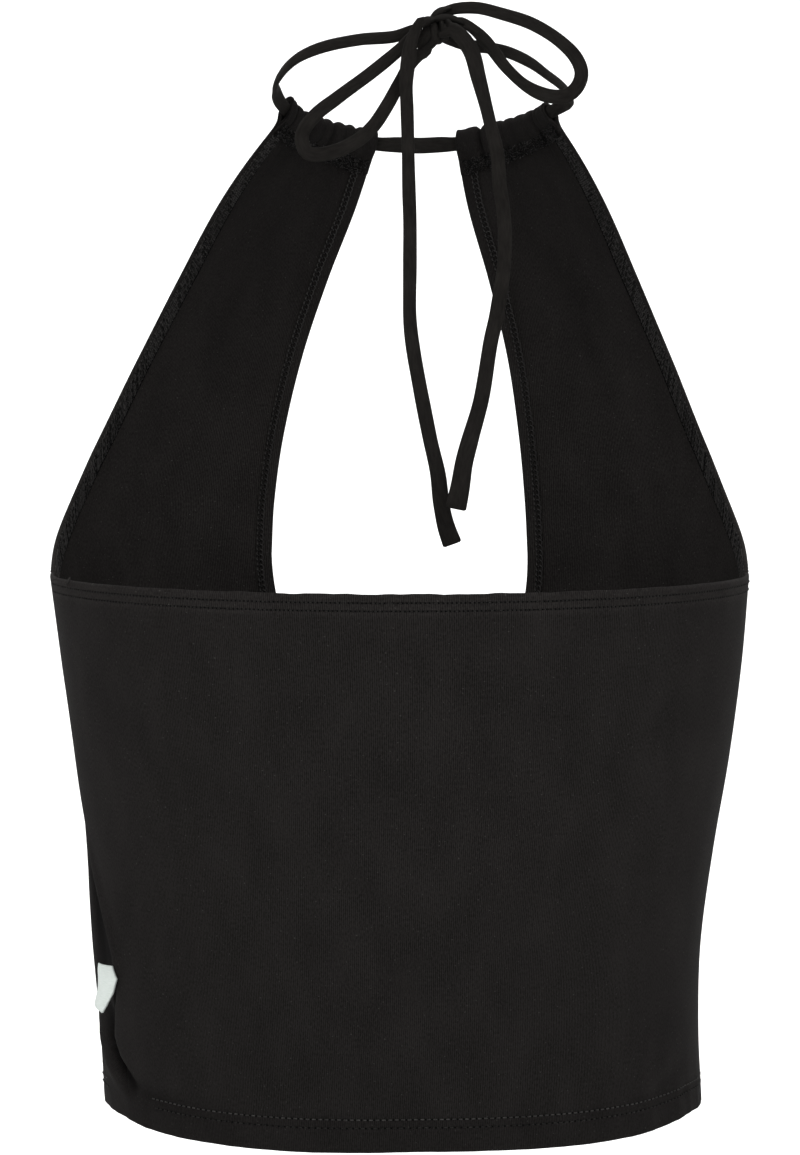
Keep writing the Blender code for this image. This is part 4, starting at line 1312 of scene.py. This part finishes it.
def knot_core(piece):
    """What lies inside the wrap and the strands."""
    rings = []
    for j in range(CORE_RINGS):
        lift = pi * (j + 0.5) / CORE_RINGS
        ring = []
        for k in range(CORE_SIDES):
            turn = 2 * pi * k / CORE_SIDES
            way = (cos(lift), sin(lift) * cos(turn), sin(lift) * sin(turn))
            spot = KNOT_CENTRE + CORE_OFFSET + Vector(CORE_RADII[n] * way[n] for n in range(3))
            ring.append((spot, (turn * CORE_CLOTH, lift * CORE_CLOTH)))
        rings.append(ring)
    piece.loft(rings)


def knot(tie):
    """The knot of the bow, as strands of cloth wound over one another."""
    piece = Piece()
    knot_wrap(piece)
    for strand in KNOT_STRANDS:
        knot_strand(piece, strand)
    knot_core(piece)
    piece.make("bow_knot_cloth", tie, "black_tie", "bow_knot")


# --- stitching --------------------------------------------------------------------------------------


def walk(places, pitch, trim=0.0):
    """Evenly spaced places along a line of places on the cloth, about a pitch apart."""
    points = [on_cloth(place) for place in places]
    count = max(2, round((lengths_along(points)[-1] - 2 * trim) / pitch))
    return [blend(places[i], places[i + 1], share) for i, share in even_steps(points, count, trim)]


def resample(places, count):
    """count + 1 places at even distances along a line of places on the form."""
    points = [on_form(*place) for place in places]
    return [blend(places[i], places[i + 1], share) for i, share in even_steps(points, count)]


def thread_tube(piece, points, radius, sides=THREAD_SIDES, start=0.0):
    """A round thread along points. Its colour begins at a place of its own on the thread."""
    rings = []
    for i, point in enumerate(points):
        along = step_at(points, i).normalized()
        first = along.orthogonal() if i == 0 else first - along * first.dot(along)
        first.normalize()
        second = along.cross(first)
        ring = []
        for k in range(sides):
            turn = 2 * pi * k / sides
            spot = point + (first * cos(turn) + second * sin(turn)) * radius
            ring.append((spot, (k * THREAD_CLOTH[0], start + i * THREAD_CLOTH[1])))
        rings.append(ring)
    piece.loft(rings)


def needle_row(threads, pit_shades, places, pitch):
    """A row of needle stitches along places: short threads that dip into the cloth at both ends, with a
    near-black disc of painted shade in the pit between each two.
    """
    spots = walk(places, pitch, ROW_TRIM)
    for n, (here, after) in enumerate(zip(spots, spots[1:])):
        points = []
        for share, rise in STITCH_RISES:
            points.append(on_cloth(blend(here, after, share * STITCH_SHARE), OUTSIDE + rise))
        thread_tube(threads, points, NEEDLE_THREAD, NEEDLE_SIDES, n * STITCH_CLOTH)
        pit_shade_disc(pit_shades, blend(here, after, (1 + STITCH_SHARE) / 2))


def pit_shade_disc(piece, place):
    """The painted shade of the pit between two stitches: a near-black disc on the cloth."""
    round_it, up_it = (way.normalized() for way in slopes_at(*place))
    middle = piece.add(on_cloth(place, OUTSIDE + HOLE_OUT / 2))
    rim = []
    for k in range(HOLE_SIDES):
        turn = 2 * pi * k / HOLE_SIDES
        spot = round_it * (HOLE_WIDE * cos(turn)) + up_it * (HOLE_TALL * sin(turn))
        rim.append(piece.add(on_cloth(place, OUTSIDE + HOLE_OUT) + spot))
    for a, b in zip(rim, rim[1:] + rim[:1]):
        piece.faces.append((middle, a, b))


def looper(piece, near, far, pitch, rng):
    """The threads under a two needle hem, which cross from row to row on the wrong side of the cloth."""
    count = (len(walk(near, pitch)) - 1) * LOOPER_STEPS
    near, far = resample(near, count), resample(far, count)
    for phase, reach in LOOPER_STRANDS:
        points = []
        for k, (a, b) in enumerate(zip(near, far)):
            turn = 2 * pi * k / LOOPER_STEPS + phase
            across = 0.5 + reach * sin(turn) + rng.uniform(-LOOPER_STRAY, LOOPER_STRAY)
            lift = LOOPER_LIFTS[0] + LOOPER_LIFTS[1] * cos(2 * turn)
            out = HEM_SIDE - lift + rng.uniform(0, LOOPER_SINK)
            points.append(on_cloth(blend(a, b, across), out))
        thread_tube(piece, points, THREAD)


def round_back(height):
    """Places along the back at one height, from the left seam to the right one."""
    start = side_seam(height, -1) + radians(FREE_OF_SEAM[0])
    return [(height, between(start, 2 * pi, share)) for share in parts(ROW_STEPS)]


def round_front(height):
    """Places along the front at one height, from the right seam to the left one."""
    end = side_seam(height, -1) - radians(FREE_OF_SEAM[1])
    return [(height, between(0, end, share)) for share in parts(ROW_STEPS)]


def bar_tack(piece):
    """A few close stitches to and fro, across the left end of the back's top hem."""
    start, end = map(Vector, BAR_TACK)
    points = []
    for k, share in enumerate(parts(BAR_TACK_TURNS * 2)):
        height, turn = start.lerp(end, share)
        points.append(on_cloth((height + (-1) ** k * BAR_TACK_HALF, radians(turn)), OUTSIDE + THREAD_OUT))
    thread_tube(piece, points, NEEDLE_THREAD)


def needle_stitches(thread, light_thread, pit):
    """Every row of stitches on the outside, the lighter ones on the bottom hem, and the painted shade of
    their pits.
    """
    needles, light_row, pit_shades = Piece(), Piece(), Piece()
    for gone in (BACK_TOP_ROWS.near, BACK_TOP_ROWS.far):
        needle_row(needles, pit_shades, round_back(UNDERARM_HEIGHT - gone), BACK_TOP_ROWS.pitch)
    for gone, threads in ((BOTTOM_ROWS.near, needles), (BOTTOM_ROWS.far, light_row)):
        for line in (round_back, round_front):
            needle_row(threads, pit_shades, line(HEM_HEIGHT + gone), BOTTOM_ROWS.pitch)
    for side in (1, -1):
        for gone in (ARMHOLE_ROWS.near, ARMHOLE_ROWS.far):
            needle_row(needles, pit_shades, beside_armhole(side, gone), ARMHOLE_ROWS.pitch)
        needle_row(needles, pit_shades, beside_keyhole(side, KEYHOLE_ROW.near), KEYHOLE_ROW.pitch)
    bar_tack(light_row)
    needles.make("needle_stitches", thread, "black_jersey")
    light_row.make("light_stitches", light_thread, "black_jersey")
    pit_shades.make("painted_needle_pits", pit, "black_jersey")


def loopers(looped):
    """The threads on the wrong side of the armholes' hems, and of the back's top and the bottom hem."""
    rng = Random(LOOPER_SEED)
    armholes, hems = Piece(), Piece()
    for side in (1, -1):
        for near, far in ARMHOLE_LOOPERS:
            looper(armholes, beside_armhole(side, near), beside_armhole(side, far), ARMHOLE_LOOP, rng)
    top = [round_back(UNDERARM_HEIGHT - gone) for gone in (BACK_TOP_ROWS.near, BACK_TOP_ROWS.far)]
    looper(hems, *top, BACK_TOP_ROWS.pitch, rng)
    for line in (round_back, round_front):
        rows = [line(HEM_HEIGHT + gone) for gone in (BOTTOM_ROWS.near, BOTTOM_ROWS.far)]
        looper(hems, *rows, BOTTOM_ROWS.pitch, rng)
    hems.make("looper_threads", looped, "black_jersey_inside")
    armholes.make("armhole_loopers", looped, "black_jersey_inside")


def armhole_edge_shadows(pit):
    """A painted shadow beside the raw edge of each armhole's hem: a thin near-black tube on the wrong side of
    the cloth.
    """
    piece = Piece()
    for side in (1, -1):
        places = resample(beside_armhole(side, ARMHOLE_EDGE), EDGE_STEPS)
        thread_tube(piece, [on_cloth(place, WRONG_SIDE - EDGE_OUT) for place in places], EDGE_SHADOW_RADIUS)
    piece.make("armhole_edge_painted_shadows", pit, "black_jersey_inside")


def keyhole_chain(thread):
    """The chain of loops on the wrong side of the keyhole's hem."""
    piece = Piece()
    rng = Random(LOOPER_SEED)
    for side in (1, -1):
        spots = walk(beside_keyhole(side, CHAIN_IN), CHAIN_PITCH, CHAIN_TRIM)
        for here, after in zip(spots, spots[1:]):
            start = on_cloth(here, -CHAIN_OUT)
            along = on_cloth(after, -CHAIN_OUT) - start
            way = -out_of(*here)
            across = along.cross(way).normalized()
            points = []
            for share in parts(CHAIN_STEPS):
                turn = 2 * pi * share
                far = CHAIN_LOOP[0] - CHAIN_LOOP[1] * cos(turn)
                wide = CHAIN_WIDE * sin(turn) * (1 + rng.uniform(-CHAIN_STRAY, CHAIN_STRAY))
                points.append(start + along * far + across * wide + way * CHAIN_LIFT * sin(turn / 2))
            thread_tube(piece, points, CHAIN_THREAD)
    piece.make("keyhole_chain", thread, "black_jersey_inside")


def on_flange(share, side, rise, out):
    """A point off the wrong side of a casing's flange, so far above its cut edge."""
    end = casing_at(share)
    place = down_casing(share, side, end.half_channel + end.flange - rise)
    deep = CASING_SECTION[-1].out + WRONG_SIDE + FLANGE_HOLD * gather_depth(share, side) - out
    return on_form(*place) + out_of(*place) * deep


def edge_fuzz(fleecy):
    """The crossed threads and loose fibres over the stitched edges inside both casings."""
    rng = Random(FUZZ_SEED)
    piece = Piece()
    for k in range(FUZZ_FIBRES):
        if k % THICKET_EVERY == 0:
            side, low, high = rng.choice(FUZZ_THICKETS)
        else:
            side, low, high = rng.choice((1, -1)), *FUZZ_STRETCH
        share, rise = rng.uniform(low, high), rng.uniform(*FUZZ_REACH)
        along_step, up_step = (rng.uniform(-step, step) for step in FIBRE_STEPS)
        points = []
        for t in parts(FIBRE_PARTS):
            out = FIBRE_OUT + rng.uniform(*FIBRE_ARCH) * sin(pi * t)
            spot_share = clamp(share + along_step * t, *FIBRE_LIMITS)
            points.append(on_flange(spot_share, side, rise + up_step * sin(pi * t * FIBRE_BEND), out))
        thread_tube(piece, points, rng.uniform(*FUZZ_RADII), FIBRE_SIDES, rng.random())
    piece.make("casing_fuzz", fleecy, "black_jersey_inside")


# --- label ------------------------------------------------------------------------------------------


def label_line(table, share):
    """(height, degrees, out) on a label's edge, at a share of the way down."""
    position = share * (len(table) - 1)
    i = min(int(position), len(table) - 2)
    return Vector(table[i]).lerp(Vector(table[i + 1]), position - i)


def label(satin):
    """A folded flag label, bare of any lettering."""
    piece = Piece()
    layers = []
    for layer in (0, 1):
        rows = []
        for down in parts(LABEL_ROWS):
            sewn, free = label_line(LABEL_SEWN, down), label_line(LABEL_FREE, down)
            row = []
            for share in parts(LABEL_COLUMNS):
                height, turn, out = sewn.lerp(free, share)
                bow = LABEL_BOW * sin(pi * share) + LABEL_TWIST * sin(2 * pi * down + share)
                apart = LABEL_LAYERS * layer * sqrt(max(1 - share**6, 0))
                way = out_of(height, radians(turn)) * (OUTSIDE + out + bow + apart)
                cloth = (share * LABEL_SIZE[0], down * LABEL_SIZE[1])
                row.append(piece.add(on_form(height, radians(turn)) + way, cloth))
            rows.append(row)
        layers.append(rows)
    near, far = layers
    piece.grid(far)
    piece.grid(near, flip=True)
    sewn_edge = [[row[0] for row in rows] for rows in layers]
    for edges in ((near[0], far[0]), (near[-1], far[-1]), sewn_edge):
        piece.grid(edges)
    piece.make("side_label_satin", satin, "label_satin", "side_label", weld=WELD)


# --- materials --------------------------------------------------------------------------------------


def new_material(name, roughness, specular=CLOTH_SPECULAR):
    """A material and its shader."""
    made = bpy.data.materials.new(name)
    made.use_nodes = True
    shader = made.node_tree.nodes["Principled BSDF"]
    shader.inputs["Roughness"].default_value = roughness
    shader.inputs["Specular IOR Level"].default_value = specular
    return made, shader


def add_node(tree, kind, **values):
    """A node with its inputs linked or set, and its own settings."""
    node = tree.nodes.new(kind)
    for key, value in values.items():
        if isinstance(value, bpy.types.NodeSocket):
            tree.links.new(value, node.inputs[key])
        elif key in node.inputs:
            node.inputs[key].default_value = value
        else:
            setattr(node, key, value)
    return node


def cloth_place(tree):
    """The cloth's own coordinates."""
    return add_node(tree, "ShaderNodeUVMap", uv_map=CLOTH).outputs["UV"]


def cloth_noise(tree, along, up, detail):
    """Noise over the cloth's own coordinates, stretched by so many cycles a metre each way."""
    mapping = add_node(tree, "ShaderNodeMapping", Scale=(along, up, 1), Vector=cloth_place(tree))
    spot = mapping.outputs["Vector"]
    noise = add_node(tree, "ShaderNodeTexNoise", Scale=1.0, Detail=detail, Roughness=0.6, Vector=spot)
    return noise.outputs["Fac"]


def wale_bands(tree, pitch, uneven):
    """Upright ribs of the knit over the cloth's coordinates, a pitch apart and a little uneven."""
    looks = {"bands_direction": "X", "Scale": WAVE_UNIT / pitch, "Distortion": uneven, "Detail": 2}
    return add_node(tree, "ShaderNodeTexWave", Vector=cloth_place(tree), **looks).outputs["Fac"]


def mixed(tree, first, second, share):
    """A mix of two numbers."""
    return add_node(tree, "ShaderNodeMix", Factor=share, A=first, B=second).outputs["Result"]


def tint(tree, colour, other, share, way="MIX"):
    """A colour blended with another by a share."""
    kind = {"data_type": "RGBA", "blend_type": way}
    return add_node(tree, "ShaderNodeMix", **kind, Factor=share, A=colour, B=other).outputs["Result"]


def ramp(tree, source, stops):
    """The colour that a number stands for, between stops of a position and a colour."""
    node = add_node(tree, "ShaderNodeValToRGB", Fac=source)
    elements = node.color_ramp.elements
    for n, (position, colour) in enumerate(stops):
        element = elements[n] if n < 2 else elements.new(position)
        element.position = position
        element.color = (*colour, 1)
    return node.outputs["Color"]


def bump(tree, source, strength, distance):
    """The normal of a surface that a number raises."""
    node = add_node(tree, "ShaderNodeBump", Strength=strength, Distance=distance, Height=source)
    return node.outputs["Normal"]


def painted_light_by_height(tree, colour, table):
    """The colour, with painted light and shade: lighter or darker by the cloth's height, as the table says.
    """
    apart = add_node(tree, "ShaderNodeSeparateXYZ", Vector=cloth_place(tree))
    low, high = table[0].height, table[-1].height
    limits = {"From Min": low, "From Max": high}
    share = add_node(tree, "ShaderNodeMapRange", Value=apart.outputs["Y"], **limits)
    stops = [((shade.height - low) / (high - low), (shade.light,) * 3) for shade in table]
    return tint(tree, colour, ramp(tree, share.outputs["Result"], stops), 1, "MULTIPLY")


def painted_fold_shade(tree):
    """How much painted shade darkens the cloth in a fold, or at a knot strand's edge."""
    hollow = add_node(tree, "ShaderNodeAttribute", attribute_name=HOLLOW)
    share = add_node(tree, "ShaderNodeMath", operation="MULTIPLY", Value=hollow.outputs["Fac"])
    share.inputs[1].default_value = PAINTED_FOLD_SHADE
    return share.outputs["Value"]


def jersey_material(name, painted_light):
    """Black single jersey: fine upright wales, uneven in tone, a soft nap, specks of lint, painted light and
    shade by height, and painted shade in its folds.
    """
    made, shader = new_material(name, 0.9)
    tree = made.node_tree
    wales = wale_bands(tree, WALE, 1.4)
    grain = cloth_noise(tree, 1500, 800, 2)
    patches = cloth_noise(tree, 60, 30, 3)
    tone = mixed(tree, mixed(tree, wales, grain, 0.72), patches, 0.22)
    colour = ramp(tree, tone, JERSEY_TONES)
    colour = tint(tree, colour, LINT, ramp(tree, cloth_noise(tree, 1100, 1100, 0), LINT_STOPS))
    # Painted light and shade by height, then painted shade in the folds
    colour = tint(tree, painted_light_by_height(tree, colour, painted_light), PAINTED_SHADE_BLACK, painted_fold_shade(tree))
    tree.links.new(colour, shader.inputs["Base Color"])
    tree.links.new(bump(tree, mixed(tree, wales, grain, 0.6), 0.5, 0.00018), shader.inputs["Normal"])
    return made


def tie_material():
    """The same jersey cut narrow: the tie's stitches run along it."""
    made, shader = new_material("black_tie_jersey", 0.88)
    tree = made.node_tree
    wales = cloth_noise(tree, 1100, 240, 2)
    patches = cloth_noise(tree, 90, 70, 2)
    colour = ramp(tree, mixed(tree, wales, patches, 0.45), TIE_TONES)
    # Painted shade at the knot strands' edges
    colour = tint(tree, colour, PAINTED_SHADE_BLACK, painted_fold_shade(tree))
    tree.links.new(colour, shader.inputs["Base Color"])
    tree.links.new(bump(tree, wales, 0.45, 0.0002), shader.inputs["Normal"])
    return made


def thread_material(name, tones):
    """Thread that runs from dark to light, which makes a speckle of many short stretches."""
    made, shader = new_material(name, 0.7)
    tree = made.node_tree
    tree.links.new(ramp(tree, cloth_noise(tree, 700, 700, 2), tones), shader.inputs["Base Color"])
    return made


def painted_shade_material():
    """Near black for painted shade: in the needle pits, and the painted shadow beside a raw edge."""
    made, shader = new_material("painted_pit_shade", 1.0)
    shader.inputs["Base Color"].default_value = PAINTED_PIT_BLACK
    return made


def satin_material():
    """Pale woven satin with fine threads across."""
    made, shader = new_material("pale_label_satin", 0.5)
    tree = made.node_tree
    threads = cloth_noise(tree, 300, 5200, 1)
    tree.links.new(ramp(tree, threads, SATIN_TONES), shader.inputs["Base Color"])
    tree.links.new(bump(tree, threads, 0.35, 0.00012), shader.inputs["Normal"])
    return made


def stage_material():
    """The matt white of the floor and backdrop."""
    made, shader = new_material("pale_stage", 0.9, STAGE_SPECULAR)
    shader.inputs["Base Color"].default_value = STAGE_COLOUR
    return made


# --- studio -----------------------------------------------------------------------------------------


def camera():
    """The camera, a little above the garment's middle."""
    data = bpy.data.cameras.new("photo_camera")
    data.sensor_fit = "VERTICAL"
    data.sensor_height = CAMERA_SENSOR
    data.lens = CAMERA_LENS
    made = new_object("photo_camera", data)
    made.location = CAMERA_PLACE
    made.rotation_euler = (radians(CAMERA_PITCH), 0, 0)
    bpy.context.scene.camera = made


def stage():
    """A pale floor that bends up into a backdrop."""
    bend = STAGE_FAR - STAGE_BEND
    profile = [(STAGE_NEAR, FLOOR_HEIGHT)]
    for share in parts(STAGE_STEPS):
        turn = pi / 2 * share
        profile.append((bend + STAGE_BEND * sin(turn), FLOOR_HEIGHT + STAGE_BEND * (1 - cos(turn))))
    profile.append((STAGE_FAR, STAGE_TOP))
    points = [(x, y, z) for y, z in profile for x in (-STAGE_HALF_WIDTH, STAGE_HALF_WIDTH)]
    faces = [(2 * i, 2 * i + 1, 2 * i + 3, 2 * i + 2) for i in range(len(profile) - 1)]
    data = bpy.data.meshes.new("stage_sweep")
    data.from_pydata(points, [], faces)
    data.shade_smooth()
    data.materials.append(stage_material())
    new_object("stage_sweep", data)


def lamps():
    """The soft lamps."""
    for lamp in LAMPS:
        data = bpy.data.lights.new(lamp.name, "AREA")
        data.size = lamp.size
        data.energy = lamp.watts
        made = new_object(lamp.name, data)
        made.location = lamp.place
        made.rotation_euler = (Vector(lamp.aim) - Vector(lamp.place)).to_track_quat("-Z", "Y").to_euler()


def surroundings():
    """Soft white light from all round."""
    scene = bpy.context.scene
    scene.view_settings.view_transform = "Standard"
    world = bpy.data.worlds.new("soft_white")
    world.use_nodes = True
    world.node_tree.nodes["Background"].inputs["Color"].default_value = (1, 1, 1, 1)
    world.node_tree.nodes["Background"].inputs["Strength"].default_value = WORLD_LIGHT
    scene.world = world


def main():
    """The studio, then the strings, then the cloth with its stitches and label."""
    camera()
    surroundings()
    stage()
    lamps()
    tie = tie_material()
    # Two copies of the jersey, each with its own painted light and shade by height
    back_jersey = jersey_material("black_jersey_back", BACK_PAINTED_LIGHT)
    front_jersey = jersey_material("black_jersey_front", FRONT_PAINTED_LIGHT)
    thread = thread_material("black_thread", BLACK_THREAD)
    light_thread = thread_material("light_thread", LIGHT_THREAD)
    fleecy = thread_material("fleecy_thread", FLEECY_THREAD)
    looped = thread_material("looped_thread", LOOPED_THREAD)
    pit, satin = painted_shade_material(), satin_material()
    for string in FREE_STRINGS:
        free_string(tie, string)
    neck_string(tie)
    knot(tie)
    front_cloth(front_jersey)
    back_cloth(back_jersey)
    seam_allowances(back_jersey)
    needle_stitches(thread, light_thread, pit)
    loopers(looped)
    armhole_edge_shadows(pit)
    keyhole_chain(looped)
    edge_fuzz(fleecy)
    label(satin)


main()
